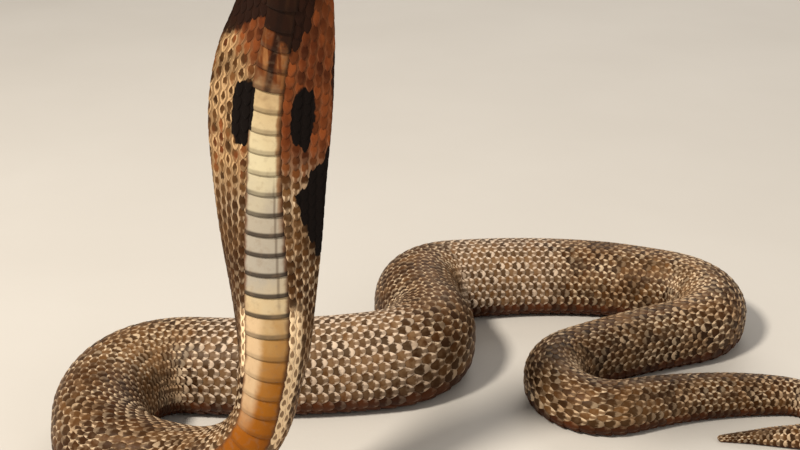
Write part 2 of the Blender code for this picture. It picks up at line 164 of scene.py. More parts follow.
PLATE_PROFILE = [  # share of the pitch from the plate's front, height over the skin
    (-0.12, -0.2), (0.1, 0.05), (0.45, 0.34), (0.85, 0.62), (1.06, 0.72), (1.13, 0.64),
    (1.14, 0.42), (1.10, -0.2), (0.4, -0.5), (-0.10, -0.5),
]

# The camera of the photo, in this frame
CAMERA_AT = (-0.0244, -0.4793, 0.2907)
CAMERA_TILT = 22.0  # degrees down from level
CAMERA_LENS, SENSOR = 54.0, 36.0
LIGHTS_AIM = (0.0, 0.0, 0.08)


def unit(v):
    return v / np.maximum(np.linalg.norm(v, axis=-1, keepdims=True), 1e-9)


def smoothstep(x):
    x = np.clip(x, 0.0, 1.0)
    return x * x * (3 - 2 * x)


def rise(x, start, soft):
    """0 up to start, then growing to 1 over soft."""
    return smoothstep((x - start) / soft)


def fall(x, end, soft):
    """1 well below end, shrinking to 0 there over soft."""
    return smoothstep((end - x) / soft)


def band(x, low, high, soft):
    """1 between low and high, fading to 0 over soft outside them."""
    return smoothstep((x - low) / soft + 1) * smoothstep((high - x) / soft + 1)


def steps_at(x, table):
    """A value read from a table of (place, value) pairs."""
    return np.interp(x, *zip(*table))


def coat_depth(outside, run):
    """How far the skin lies under the solids' outside, less at the tail's thin end."""
    return COAT * np.clip((outside.body.end - run) / THIN_END, 0.25, 1.0)


def head_lift(outside, run):
    """How much higher the skin and the small scales lie on the head."""
    return 0.12 * rise(outside.body.start - run, 8.0, 5.0)


# The outside of the animal


def floor_path():
    """The centreline on the floor, every STEP, and the body's radius there."""
    lengths = np.array([run[1] for run in FLOOR_RUNS])
    turns = np.radians([run[2] for run in FLOOR_RUNS])
    along = np.concatenate([[0.0], np.cumsum(lengths)])
    heading = math.radians(PATH_HEADING) + np.concatenate([[0.0], np.cumsum(turns)])
    s = np.linspace(0.0, along[-1], int(along[-1] / STEP) + 1)
    offsets = np.linspace(-BEND_EASE / 2, BEND_EASE / 2, 9)
    weights = np.cos(np.pi * offsets / BEND_EASE) ** 2 + 1e-3
    eased = sum(w * np.interp(s + o, along, heading) for w, o in zip(weights, offsets))
    eased /= weights.sum()
    middle = (eased[1:] + eased[:-1]) / 2
    ds = s[1] - s[0]
    x = PATH_START[0] + np.concatenate([[0.0], np.cumsum(np.cos(middle) * ds)])
    y = PATH_START[1] + np.concatenate([[0.0], np.cumsum(np.sin(middle) * ds)])
    radius = np.interp(s, *zip(*RADII))
    return np.column_stack([x, y, BELLY_HEIGHT * DEPTH * radius]), radius


def spline(knots, count, measured=3):
    """A smooth curve through rows of numbers, spaced by their first few columns."""
    knots = np.array(knots, float)
    chord = np.linalg.norm(np.diff(knots[:, :measured], axis=0), axis=1)
    t = np.concatenate([[0.0], np.cumsum(chord)])
    slope = np.gradient(knots, t, axis=0)
    x = np.linspace(0.0, t[-1], count)
    i = np.clip(np.searchsorted(t, x, side="right") - 1, 0, len(t) - 2)
    h = (t[i + 1] - t[i])[:, None]
    f = (x - t[i])[:, None] / h
    a, b = knots[i], knots[i + 1]
    return (
        a * (1 + 2 * f) * (1 - f) ** 2
        + b * f * f * (3 - 2 * f)
        + slope[i] * h * f * (1 - f) ** 2
        - slope[i + 1] * h * f * f * (1 - f)
    )


def smoothed(rows, passes):
    out = rows.copy()
    for _ in range(passes):
        out[1:-1] = (out[:-2] + 2 * out[1:-1] + out[2:]) / 4
    return out


class Body:
    """The middle line of the body and neck with its sizes and its turning frame."""

    def __init__(self):
        floor, radius = floor_path()
        raised = spline(NECK_POINTS, NECK_STEPS)
        flat = np.column_stack([
            floor, radius, DEPTH * radius, 0 * radius, FLOOR_PLATES + 0 * radius,
        ])
        rows = np.vstack([raised[:-1], flat[int(FOOT_JOIN / STEP):]])
        rows[:, :2] -= ORIGIN
        lengths = np.concatenate([[0.0], np.cumsum(
            np.linalg.norm(np.diff(rows[:, :3], axis=0), axis=1))])
        even = np.arange(0.0, lengths[-1], STEP)
        rows = np.column_stack([np.interp(even, lengths, column) for column in rows.T])
        rows[:, :3] = smoothed(rows[:, :3], EVEN_PLACE)
        rows[:, 3:] = smoothed(rows[:, 3:], EVEN_SIZE)
        self.start = FOOT_JOIN - lengths[len(raised) - 1]
        self.s = even + self.start
        self.rows = rows
        self.along = unit(np.gradient(rows[:, :3], axis=0))
        self.back = self.turned_backs()
        self.end = self.s[-1]

    def turned_backs(self):
        """Which way the back faces: up on the floor, then carried up the neck and turned."""
        first = int(np.searchsorted(self.s, TWIST_ALONG))
        back = np.tile([0.0, 0.0, 1.0], (len(self.s), 1))
        for i in range(first - 1, -1, -1):
            carried = back[i + 1] - self.along[i] * (back[i + 1] @ self.along[i])
            back[i] = unit(carried)
        for i in range(first, len(self.s)):
            back[i] = unit(back[i] - self.along[i] * (back[i] @ self.along[i]))
        raised = self.s < 0
        top = int(np.argmax(raised & (self.rows[:, 2] < TURN_FROM)))
        aim = np.array([math.sin(math.radians(FACING)), math.cos(math.radians(FACING)), 0.0])
        whole = self.angle_to(back[top], aim, self.along[top])
        foot = int(np.argmax(raised & (self.rows[:, 2] < TWIST_TOP)))
        share = fall(self.s, TWIST_ALONG, TWIST_ALONG - self.s[foot])
        back = self.rotated(back, whole * share)
        rest = self.angle_to(back[0], np.array([0.0, 0.0, 1.0]), self.along[0])
        nape = int(np.argmax(self.rows[:, 2] < NAPE))
        share = fall(self.s, self.s[nape], self.s[nape] - self.s[0])
        return self.rotated(back, rest * share)

    @staticmethod
    def angle_to(a, b, axis):
        b = unit(b - axis * (b @ axis))
        return math.atan2(np.cross(a, b) @ axis, a @ b)

    def rotated(self, back, angle):
        side = np.cross(self.along, back)
        return back * np.cos(angle)[:, None] + side * np.sin(angle)[:, None]

    def read(self, run, columns):
        return np.stack([np.interp(run, self.s, column) for column in columns.T], axis=-1)

    def points(self, run, angle):
        """Places on the outside of the body or neck, with the floor flattening what it bears."""
        along = self.read(run, self.along)
        back = self.read(run, self.back)
        back = unit(back - along * np.sum(back * along, axis=-1, keepdims=True))
        side = np.cross(along, back)
        wide, deep, hood = self.read(run, self.rows[:, 3:6]).T
        wide, deep, hood = wide.T, deep.T, hood.T
        left = np.clip((self.end - run) / TIP_ROUND, 0.0, 1.0)
        tip = np.sqrt(np.maximum(1 - (1 - left) ** 2, 0.0))
        u, c = np.sin(angle), np.cos(angle)
        sag = 1 + (SAG - 1) * rise(run, SAG_FROM, SAG_FULL - SAG_FROM)
        power = np.where(c > 0, 1.0, sag)
        bulge = (deep - HOOD_EDGE * hood) * np.abs(c) ** (power * (1 + 2 * hood))
        bulge = bulge + HOOD_EDGE * hood * np.abs(c) ** 0.4
        x = np.sign(u) * wide * np.abs(u) ** power * tip
        y = (np.sign(c) * bulge - HOOD_CURL * hood * u * u) * tip
        return self.read(run, self.rows[:, :3]) + side * x[..., None] + back * y[..., None]


class Head:
    """The head, from its joint to the snout. A reach is measured forwards along its outline."""

    def __init__(self, body):
        curve = spline(HEAD_STATIONS, 400, measured=2)
        curve[:, 1:4] = np.maximum(curve[:, 1:4], 0.0)
        self.curve = curve
        self.reach = np.concatenate([[0.0], np.cumsum(
            np.hypot(np.diff(curve[:, 0]), np.diff(curve[:, 1])))])
        self.length = self.reach[-1]
        self.origin = body.rows[0, :3]
        self.forward = -body.along[0]
        self.up = body.back[0]
        self.side = np.cross(body.along[0], body.back[0])

    def at(self, reach):
        return [np.interp(reach, self.reach, column) for column in self.curve.T]

    def reach_of(self, t):
        """The reach at a distance straight forwards from the joint."""
        return np.interp(t, self.curve[:, 0], self.reach)

    def section(self, reach, angle):
        """Distance forwards, sideways and up of a place on the head."""
        t, wide, over, under, square = self.at(reach)
        u, c = np.sin(angle), np.cos(angle)
        power = 2 / square
        x = np.sign(u) * wide * np.abs(u) ** power
        z = np.where(c > 0, over, under) * np.sign(c) * np.abs(c) ** power
        return t, x, z

    def points(self, reach, angle):
        t, x, z = self.section(reach, angle)
        return (self.origin + self.forward * t[..., None] + self.side * x[..., None]
                + self.up * z[..., None])

    def mouth_height(self, t):
        """How high the mouth's line runs, from the head's middle."""
        under = np.interp(t, *zip(*[(s[0], s[3]) for s in HEAD_STATIONS if s[0] < 39]))
        line = -MOUTH * under + 0.35 * band(t, 13.0, 19.0, 5.0)
        front = rise(t, 34.0, 7.0)
        return line * (1 - front) + MOUTH_FRONT * front

    def mouth_angle(self, t, above):
        """The angle at which a section meets the mouth's line, or a height above it."""
        t = np.asarray(t, float)
        reach = self.reach_of(t)
        _, _, _, under, square = self.at(reach)
        share = -(self.mouth_height(t) + above) / np.maximum(under, 0.3)
        return np.arccos(-np.clip(share, -1.0, 1.0) ** (square / 2))


class Outside:
    """The whole outside by run and share, with even spacing round each section."""

    ANGLES = 320
    SHARES = 257

    def __init__(self, body, head):
        self.body, self.head = body, head
        self.first = body.start - head.length
        self.runs = np.arange(self.first + 0.02, body.end - 0.02, 1.0)
        half = np.linspace(-1.0, 1.0, self.ANGLES)
        angles = (np.sign(half) * np.abs(half) ** 1.7 + 1) * math.pi / 2
        run, angle = np.meshgrid(self.runs, angles, indexing="ij")
        points = self.at_angle(run, angle)
        arc = np.concatenate([np.zeros((len(self.runs), 1)), np.cumsum(
            np.linalg.norm(np.diff(points, axis=1), axis=2), axis=1)], axis=1)
        self.girths = arc[:, -1]
        shares = np.linspace(0.0, 1.0, self.SHARES)
        self.angles = np.array([np.interp(shares, a / a[-1], angles) for a in arc])
        self.shares = np.array([np.interp(np.linspace(0, math.pi, self.SHARES), angles, a / a[-1])
                                for a in arc])

    def at_angle(self, run, angle):
        run = np.clip(run, self.first, self.body.end)
        raised = run < self.body.start
        out = np.empty(run.shape + (3,))
        out[~raised] = self.body.points(run[~raised], angle[~raised])
        out[raised] = self.head.points(self.body.start - run[raised], angle[raised])
        out[..., 2] = np.where(raised, out[..., 2], np.maximum(out[..., 2], 0.0))
        return out

    def look_up(self, table, run, share):
        row = np.clip((run - self.runs[0]), 0, len(self.runs) - 1.001)
        column = np.clip(share, 0.0, 1.0) * (self.SHARES - 1.001)
        i, j = row.astype(int), column.astype(int)
        f, g = row - i, column - j
        low = table[i, j] * (1 - g) + table[i, j + 1] * g
        high = table[i + 1, j] * (1 - g) + table[i + 1, j + 1] * g
        return low * (1 - f) + high * f

    def angle_of(self, run, share):
        """The angle of a share; a share past 1 goes on round the belly to the other side."""
        over = np.abs(share) > 1
        share = np.where(over, share - 2 * np.sign(share), share)
        return np.sign(share) * self.look_up(self.angles, run, np.abs(share))

    def share_of(self, run, angle):
        return np.sign(angle) * self.look_up(self.shares, run, np.abs(angle) / math.pi)

    def girth(self, run):
        """Half the distance round the animal."""
        return np.interp(run, self.runs, self.girths)

    def point(self, run, share):
        return self.at_angle(run, self.angle_of(run, share))

    def normal(self, run, share):
        ds = 0.7
        df = 0.45 / np.maximum(self.girth(run), 2.0)
        along = self.point(run + ds, share) - self.point(run - ds, share)
        across = self.point(run, share + df) - self.point(run, share - df)
        return unit(np.cross(across, along))

    def stretch(self, run, share):
        """How long a millimetre of run is on this side of a bend."""
        ds = 1.5
        return np.linalg.norm(self.point(run + ds, share) - self.point(run - ds, share),
                              axis=-1) / (2 * ds)

    def place(self, run, share, height):
        """Places at a height over the solids' outside, never under the floor."""
        out = self.point(run, share) + self.normal(run, share) * height[..., None]
        out[..., 2] = np.maximum(out[..., 2], FLOOR_CLEAR)
        return out

    def plate_edge(self, run):
        """The share at which the belly plates begin."""
        neck = np.interp(run, self.body.s, self.body.rows[:, 6])
        angle = math.pi - np.arcsin(neck)
        ahead = self.body.start - run
        throat = math.radians(150.0) + math.radians(29.0) * rise(ahead, 5.0, 11.0)
        return self.share_of(run, np.where(run < self.body.start, throat, angle))


# Meshes


def make_object(name, points, faces, values, uvs, material):
    """A piece from vertex places in millimetres, faces, named values and loop UVs."""
    mesh = bpy.data.meshes.new(name)
    mesh.from_pydata((points * MM).tolist(), [], faces)
    for key, numbers in values.items():
        layer = mesh.attributes.new(key, "FLOAT", "POINT")
        layer.data.foreach_set("value", np.asarray(numbers, np.float32).ravel())
    layer = mesh.uv_layers.new(name="OFBake")
    layer.data.foreach_set("uv", np.asarray(uvs, np.float32).ravel())
    mesh.shade_smooth()
    mesh.materials.append(material)
    mesh.validate()
    item = bpy.data.objects.new(name, mesh)
    bpy.context.scene.collection.objects.link(item)
    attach(item, "root")
    return item


def ring_faces(rings, n, closed=False):
    """Quads between rings of n corners, each ring joined to the next one."""
    faces = []
    for k in range(rings if closed else rings - 1):
        near, far = k * n, (k + 1) % rings * n
        for i in range(n):
            j = (i + 1) % n
            faces.append((near + i, near + j, far + j, far + i))
    return faces


def fan(first, n, tip):
    """Triangles from a ring of n corners to one corner."""
    return [(first + i, first + (i + 1) % n, tip) for i in range(n)]


def flipped(quads):
    """The same quads seen from their other side."""
    return [(a, d, c, b) for a, b, c, d in quads]


class Unwrap:
    """An unwrap of the skin from one run to another, in strips laid side by side."""

    def __init__(self, first, last, strips):
        self.first, self.last, self.strips = first, last, strips
        self.long = (last - first) / strips

    def strip(self, run):
        return np.floor((run - self.first) / self.long)

    def uv(self, run, share):
        run = np.clip(run, self.first, self.last - 1e-6)
        u = (run - self.first - self.strip(run) * self.long) / self.long
        v = (self.strip(run) + 0.5 + 0.5 * np.clip(share, -1, 1)) / self.strips
        return np.stack([0.01 + 0.98 * u, 0.004 + 0.992 * v], axis=-1)


# Markings, and painted light and shade, shared by the skin and everything on it


# The dark throat is partly a dark band and partly painted shadow of the head
THROAT = [  # distance from the belly's middle, left negative; run at which the dark throat ends
    (-26, -184), (-20, -187), (-14, -192), (-9, -199), (-3, -200), (1, -194), (7, -192),
    (10, -198), (12, -218), (18, -222), (21, -187), (24, -167), (27, -151),
]
# Painted shadow on the hood's right side: run, and distance from the belly's middle where it begins
SHADOW_WEDGE_EDGE = [  # run, and distance from the belly's middle where the right side turns dark
    (-173, 99), (-157, 24), (-149, 22), (-141, 17), (-132, 12), (-124, 14), (-117, 16.5),
    (-109, 20), (-101, 99),
]
# The spectacle: run and distance from the back's middle of each ring, its radius, the loop's length
RING_RUN, RING_OUT, RING_SIZE, LOOP_LENGTH = -169.0, 8.2, 5.2, 9.5
SPOT_RUN, SPOT_OUT = -163.4, 11.3
CALM_RUNS = [(18.0, 78.0, 0.5), (244.0, 318.0, 0.4)]  # run from and to, how few pale flecks
# Paler, greyer zones: behind the neck paler flecking, on the back length partly painted sheen
PALE_AND_SHEEN_RUNS = [(150.0, 226.0, 22.0), (344.0, 384.0, 25.0)]  # run from and to, fade at the ends


def hood_spots(run, belly, side):
    """The two black spots beside the belly plates, the left one leaning."""
    down = run - SPOT_RUN + 1.15 * side
    lean = np.where(side < 0, 0.05 * np.clip(down, -12.0, 12.0), 0.0)
    spot_long = np.abs(down / (12.0 + 0.5 * side))
    spot_wide = np.abs((belly - SPOT_OUT - 2.1 * side - lean) / (4.35 - 0.15 * side - lean))
    return smoothstep((1.15 - (spot_long ** 2.6 + spot_wide ** 2.6) ** (1 / 2.6)) / 0.3)


def spectacle(run, back):
    """The pale spectacle on the back of the hood and its dark surround."""
    from_ring = np.hypot(run - RING_RUN, (back - RING_OUT) * 1.1)
    below = (run - RING_RUN - RING_SIZE) / LOOP_LENGTH
    loop = np.hypot(np.maximum(below, 0.0), back / RING_OUT)
    hangs = smoothstep((below + 0.05) / 0.12)
    pale = np.maximum(band(from_ring, RING_SIZE - 1.3, RING_SIZE + 1.1, 0.7),
                      band(loop, 0.90, 1.12, 0.09) * hangs)
    dark = np.maximum(band(from_ring, RING_SIZE - 2.4, RING_SIZE + 3.0, 0.8),
                      band(loop, 0.72, 1.32, 0.12) * hangs)
    return pale, np.maximum(dark, fall(from_ring, RING_SIZE - 2.2, 1.0))


def marks_and_painted_light(outside, run, share):
    """Shares of each marking, and of the painted light and shade, at a place on the animal."""
    run, share = np.broadcast_arrays(run, share)
    size, girth, side = np.abs(share), outside.girth(run), np.sign(share)
    left = side < 0
    belly = (1 - size) * girth
    across = side * belly
    off_plates = (outside.plate_edge(run) - size) * girth
    ahead = rise(size, 0.50, 0.06)
    behind = fall(size, 0.55, 0.05)

    front = ahead * rise(run, -253, 8) * fall(run, np.where(left, -124.0, -132.0), 22)
    # painted light and shade: the hood's front counts as lit on its left side, and as shaded on its
    # right and towards the throat
    lit = smoothstep((6.0 - across - 0.9 * np.maximum(-173.0 - run, 0.0)) / 14)
    foot = fall(off_plates, np.where(left, 5.0, 7.0), 3)
    foot = foot * band(run, np.where(left, -83.0, -84.0), np.where(left, -64.0, -36.0), 7.0)
    calm = band(run, np.where(left, -126.0, -119.0), -67.0, 14.0) * ahead
    calm = np.where(left, calm, 0.35 * calm)
    for low, high, much in CALM_RUNS:
        calm = np.maximum(calm, much * band(run, low, high, 15.0))
    # painted shadow: the hood's right side goes near-black
    shadow_wedge = smoothstep((across - steps_at(run, SHADOW_WEDGE_EDGE)) / 1.6 + 0.5) * rise(size, 0.40, 0.1)
    # dark throat: partly a dark band, partly painted shadow of the head
    throat = smoothstep((steps_at(across, THROAT) - run) / 5.0 + 0.5)
    pale, dark = spectacle(run, size * girth)
    angle = np.abs(outside.angle_of(run, share))
    on_head = fall(run, outside.body.start + 3, 8)
    return {
        "run": run * MM,
        "front": front,
        "lit": lit,
        # painted shade: the lower sides darker where the body lies on the floor
        "flank_shade": rise(size, 0.46, 0.22) * rise(run, -31, 50),
        "foot": foot,
        "calm": calm * (1 - foot),
        "shadow_wedge": shadow_wedge,
        # paler, greyer zones, partly painted sheen
        "grey": np.maximum(*[band(run, *place) for place in PALE_AND_SHEEN_RUNS]),
        "spot": hood_spots(run, belly, side),
        "ring": pale * behind,
        "rim": dark * behind,
        "throat": throat * rise(run, -259, 10) * rise(size, 0.45, 0.1),
        "on_head": on_head,
        "lips": on_head * rise(angle, 1.47, 0.12),
        "chin": on_head * rise(angle, 2.05, 0.25),
    }


# Scales


class Template:
    """One scale as rings of corners round its middle, the last ones under it."""

    CORNERS = 16
    RINGS = [(1.0, 0.62), (0.93, 0.88), (0.66, 1.0), (0.32, 1.08)]  # way out, share of the rise
    MIDDLE_RISE, UNDER_SIZE = 1.12, 0.97

    def __init__(self, roundness):
        n = self.CORNERS
        turn = np.linspace(0, 2 * math.pi, n, endpoint=False)
        out, heights = np.array(self.RINGS).T
        x, y = [np.sign(way) * np.abs(way) ** (2 / roundness)
                for way in (np.cos(turn), np.sin(turn))]
        self.along, self.across = [
            np.concatenate([np.outer(out, way).ravel(), [0.0], way * self.UNDER_SIZE])
            for way in (x, y)]
        self.lift = np.concatenate([np.repeat(heights, n), [self.MIDDLE_RISE], np.full(n, np.nan)])
        self.inward = np.concatenate([np.repeat(1 - out, n), [1.0], np.zeros(n)])
        middle = n * len(out)
        under, inner = middle + 1, middle - n
        self.faces = ring_faces(len(out), n)
        self.faces += [(inner + i, inner + (i + 1) % n, middle) for i in range(n)]
        self.faces += [(under + i, under + (i + 1) % n, (i + 1) % n, i) for i in range(n)]
        self.faces.append(tuple(under + i for i in reversed(range(n))))


def row_weights(run):
    """How wide each row of scales is at a run, from one side's belly plates to the other's."""
    run = np.atleast_1d(run)
    place = np.abs(np.arange(SCALE_ROWS) - (SCALE_ROWS - 1) / 2)
    from_belly = (SCALE_ROWS - 1) / 2 - place
    weights = np.tile(1.0 + 0.45 * np.exp(-from_belly / 1.6), (len(run), 1))
    for end, pair, way in ROW_ENDS:
        fade = smoothstep(0.5 - way * (run - end) / ROW_FADE)
        for row in pair:
            weights[:, row] *= fade
            weights[:, SCALE_ROWS - 1 - row] *= fade
    return weights


def stepped(first, last, table):
    """Runs from first to just past last, each step as long as a table says there."""
    runs = [first]
    while runs[-1] < last:
        runs.append(runs[-1] + float(steps_at(runs[-1], table)))
    return np.array(runs)


def scale_places(outside, random):
    """Every small scale: its run, share, half sizes and draws."""
    start, end = outside.body.start, outside.body.end
    runs = stepped(start - 27.0, end - 3.0, SCALE_PITCH)
    pitch = np.gradient(runs)
    rows = []
    for row in range(SCALE_ROWS):
        at = runs + (row % 2) * 0.5 * pitch
        weights = row_weights(at)
        total = weights.sum(axis=1)
        edge = outside.plate_edge(at)
        middles = (np.cumsum(weights, axis=1) - weights / 2) / total[:, None]
        shown = weights > LEAST_ROW
        before = np.where(shown[:, :row], middles[:, :row], 0.0).max(axis=1, initial=0.0)
        after = np.where(shown[:, row + 1:], middles[:, row + 1:], 1.0).min(axis=1, initial=1.0)
        before = np.where(before == 0.0, -middles[:, row], before)
        after = np.where(after == 1.0, 2.0 - middles[:, row], after)
        share = edge * (2 * middles[:, row] - 1)
        wide = edge * (after - before) * outside.girth(at)
        from_top = np.degrees(np.abs(outside.angle_of(at, share)))
        kept = shown[:, row] & (start - at < steps_at(from_top, SHIELDS_END)) & (at < end - 1.2)
        rows.append(np.column_stack([at, share, pitch, wide])[kept])
    run, share, pitch, wide = np.vstack(rows).T
    stretch = outside.stretch(run, share)
    loose = steps_at(run, LOOSENESS)
    half_long = pitch * (0.69 - 0.03 * loose) * stretch ** 0.5
    half_wide = wide * (0.66 - 0.20 * loose)
    draws = random.random((len(run), 4))
    half_long *= 0.96 + 0.08 * draws[:, 0]
    half_wide *= 0.95 + 0.10 * draws[:, 1]
    return {
        "run": run, "share": share, "long": half_long / stretch, "wide": half_wide,
        "lot": draws[:, 2], "turn": (draws[:, 3] - 0.5) * 0.16,
    }


def scales(outside, name, places, keep, template, unwrap, material, slot_name):
    """One joined mesh of small scales, each with its tail end lifted over the next."""
    one = {key: value[keep][:, None] for key, value in places.items()}
    count = len(one["run"])
    along, across = template.along[None, :], template.across[None, :]
    run = one["run"] + one["long"] * (along + 0.0 * across)
    tilt = one["turn"] * along * one["long"] * 0.5
    share = one["share"] + (one["wide"] * across + tilt) / outside.girth(one["run"])
    size = np.clip(one["wide"] / 2.4, 0.35, 1.0)
    tail = (along + 1) / 2
    swell = size * (0.02 + 0.55 * tail ** 1.1 + 0.10 * (1 - across ** 2) * (1 - along ** 2))
    coat = coat_depth(outside, run)
    height = np.where(np.isnan(template.lift), -coat - UNDER_SKIN,
                      -coat - 0.04 + swell * template.lift)
    points = outside.place(run, share, height + head_lift(outside, run)).reshape(-1, 3)
    values = marks_and_painted_light(outside, one["run"] + MARK_NEAR * (run - one["run"]),
                      one["share"] + MARK_NEAR * (share - one["share"]))
    values["inward"] = np.tile(template.inward, (count, 1))
    values["tail"] = tail + 0 * run
    values["lot"] = one["lot"] + 0 * run
    values["upper"] = across * np.sign(-one["share"]) + 0 * run
    corners = len(template.along)
    faces = [tuple(k * corners + i for i in face) for k in range(count)
             for face in template.faces]
    root = unwrap.uv(one["run"], one["share"])
    corner_uv = root + PATCH / 2 * np.stack([along + 0 * run, across + 0 * run], axis=-1)
    uvs = corner_uv[:, np.concatenate(template.faces)]
    cap = slice(-template.CORNERS, None)
    uvs[:, cap] = root + [0.0, 0.004] + 0.3 * (uvs[:, cap] - root)
    return make_object(name, points, faces, {k: v.ravel() for k, v in values.items()},
                       uvs.reshape(-1, 2), material)


# Belly plates


def belly_plates(outside, name, runs, pitches, unwrap, material, slot_name):
    """The wide plates under the neck and body, each lapping over the one behind it."""
    columns = np.linspace(-1, 1, 19)
    count, n = len(columns), len(PLATE_PROFILE)
    along, high = np.array(PLATE_PROFILE).T
    ends = np.clip((1 - np.abs(columns)) / 0.10, 0.0, 1.0)[:, None] ** 0.5
    shell = ring_faces(count, n)
    shell += [tuple(reversed(range(n))), tuple(range((count - 1) * n, count * n))]
    points, faces, uvs, values = [], [], [], {}
    for run, pitch in zip(runs, pitches):
        base = len(points) * n * count
        edge = float(outside.plate_edge(np.array([run + pitch / 2]))[0])
        girth = float(outside.girth(run))
        half = (1 - edge) + PLATE_LAP / girth
        share = np.sign(columns + 1e-9) * (1 - np.abs(columns) * half)
        bow = (0.10 * pitch * (1 - columns ** 2) - 0.05 * pitch)[:, None]
        grid_run = run + pitch * along + bow * (along > 0.5)
        grid_share = np.repeat(share[:, None], n, axis=1)
        small = min(1.0, girth / 30.0)
        height = small * np.where(high > 0, high * ends, high) - coat_depth(outside, grid_run)
        points.append(outside.place(grid_run, grid_share, height).reshape(-1, 3))
        middle = run + 0.5 * pitch
        one = marks_and_painted_light(outside, middle + MARK_NEAR * (grid_run - middle), grid_share)
        one["inward"] = ends + 0 * grid_run
        one["tail"] = along + 0 * grid_run
        one["lot"] = np.full_like(grid_run, (run * 0.61803) % 1.0)
        one["upper"] = columns[:, None] + 0 * grid_run
        for key, value in one.items():
            values.setdefault(key, []).append(value.ravel())
        round_it = np.where(grid_share < 0, grid_share + 2, grid_share) - 1
        flat = unwrap.uv(grid_run, round_it).reshape(-1, 2)
        faces += [tuple(base + c for c in face) for face in shell]
        uvs.append(flat[np.concatenate(shell)])
    return make_object(name, np.vstack(points), faces,
                       {k: np.concatenate(v) for k, v in values.items()},
                       np.vstack(uvs), material)


# Skin


def skin_share(outside, run, columns):
    """Columns of the skin, drawn together along the mouth's line on the head."""
    ahead = outside.body.start - run
    line = outside.share_of(run, np.full_like(run, math.radians(108.0)))
    pull = 0.55 * rise(ahead, MOUTH_CORNER - 6, 8)[:, None]
    share = np.abs(columns)[None, :]
    off = share - line[:, None]
    drawn = off * (1 - pull * np.exp(-(off / 0.16) ** 2))
    return np.sign(columns)[None, :] * (line[:, None] + drawn)


def head_relief(outside, run, share):
    """How far the head's surface is pushed in or out, and where it is a pit: brow, cheek,
    mouth, eye and nostril."""
    head = outside.head
    reach = outside.body.start - run
    on = reach > 0
    angle = outside.angle_of(run, np.abs(share))
    t, x, z = head.section(np.where(on, reach, 0.0), angle)

    def distance(at, degrees):
        middle = head.section(head.reach_of(at), math.radians(degrees))
        return np.sqrt(sum((a - b) ** 2 for a, b in zip((t, x, z), middle)))

    mouth = np.exp(-((z - head.mouth_height(t)) / 0.32) ** 2) * rise(t, MOUTH_CORNER, 2.0)
    socket = fall(distance(EYE_AT, EYE_ANGLE), 2.25, 0.5)
    pit = fall(distance(NOSTRIL_AT, NOSTRIL_ANGLE), NOSTRIL_RADIUS + 0.25, 0.35)
    cheek_hollow = 0.45 * band(t, 31.0, 35.5, 3.0) * band(angle, 1.05, 1.5, 0.35)
    brow = 0.30 * band(t, 25.0, 32.0, 3.0) * band(angle, 0.65, 0.95, 0.25)
    out = -0.75 * mouth - 1.2 * socket - 0.9 * pit - cheek_hollow + brow
    dark = np.maximum(np.maximum(mouth, pit), socket)
    return np.where(on, out, 0.0), np.where(on, dark, 0.0)


def make_skin(outside, material):
    """One skin from snout to tail's tip, a coat's depth under the solids' outside."""
    start, end = outside.body.start, outside.body.end
    head_runs = np.arange(outside.first + 0.15, start - 1.0, 0.5)
    runs = np.concatenate([head_runs, np.arange(head_runs[-1] + 1.2, end - 2, 1.7),
                           end - np.array([1.2, 0.7, 0.4, 0.2])])
    columns = np.linspace(-1, 1, 97)[:-1]
    count, n = len(runs), len(columns)
    run = np.repeat(runs[:, None], n, axis=1)
    share = np.where(run < start, skin_share(outside, runs, columns),
                     np.tile(columns, (count, 1)))
    relief, pit = head_relief(outside, run, share)
    height = relief - coat_depth(outside, run) + head_lift(outside, run)
    points = outside.place(run, share, height).reshape(-1, 3)
    values = marks_and_painted_light(outside, run, share)
    values["pit"] = pit
    unwrap = Unwrap(outside.first, end, 3)
    seam = unwrap.uv(runs, np.ones(count))[:, None]
    grid = np.concatenate([unwrap.uv(run, share), seam], axis=1)
    strip = unwrap.strip(runs)
    near = np.arange(count - 1)
    far = np.where(strip[1:] == strip[:-1], near + 1, near)
    quads = np.stack([grid[near, :-1], grid[near, 1:], grid[far, 1:], grid[far, :-1]], axis=2)
    uvs = [quads.reshape(-1, 2)]
    faces = ring_faces(count, n)
    for row, order in ((0, range(n - 1, -1, -1)), (count - 1, range(n))):
        faces.append(tuple(row * n + i for i in order))
        uvs.append(grid[row, list(order)])
    return make_object("skin", points, faces, {k: v.ravel() for k, v in values.items()},
                       np.vstack(uvs), material)


# Head shields and eyes


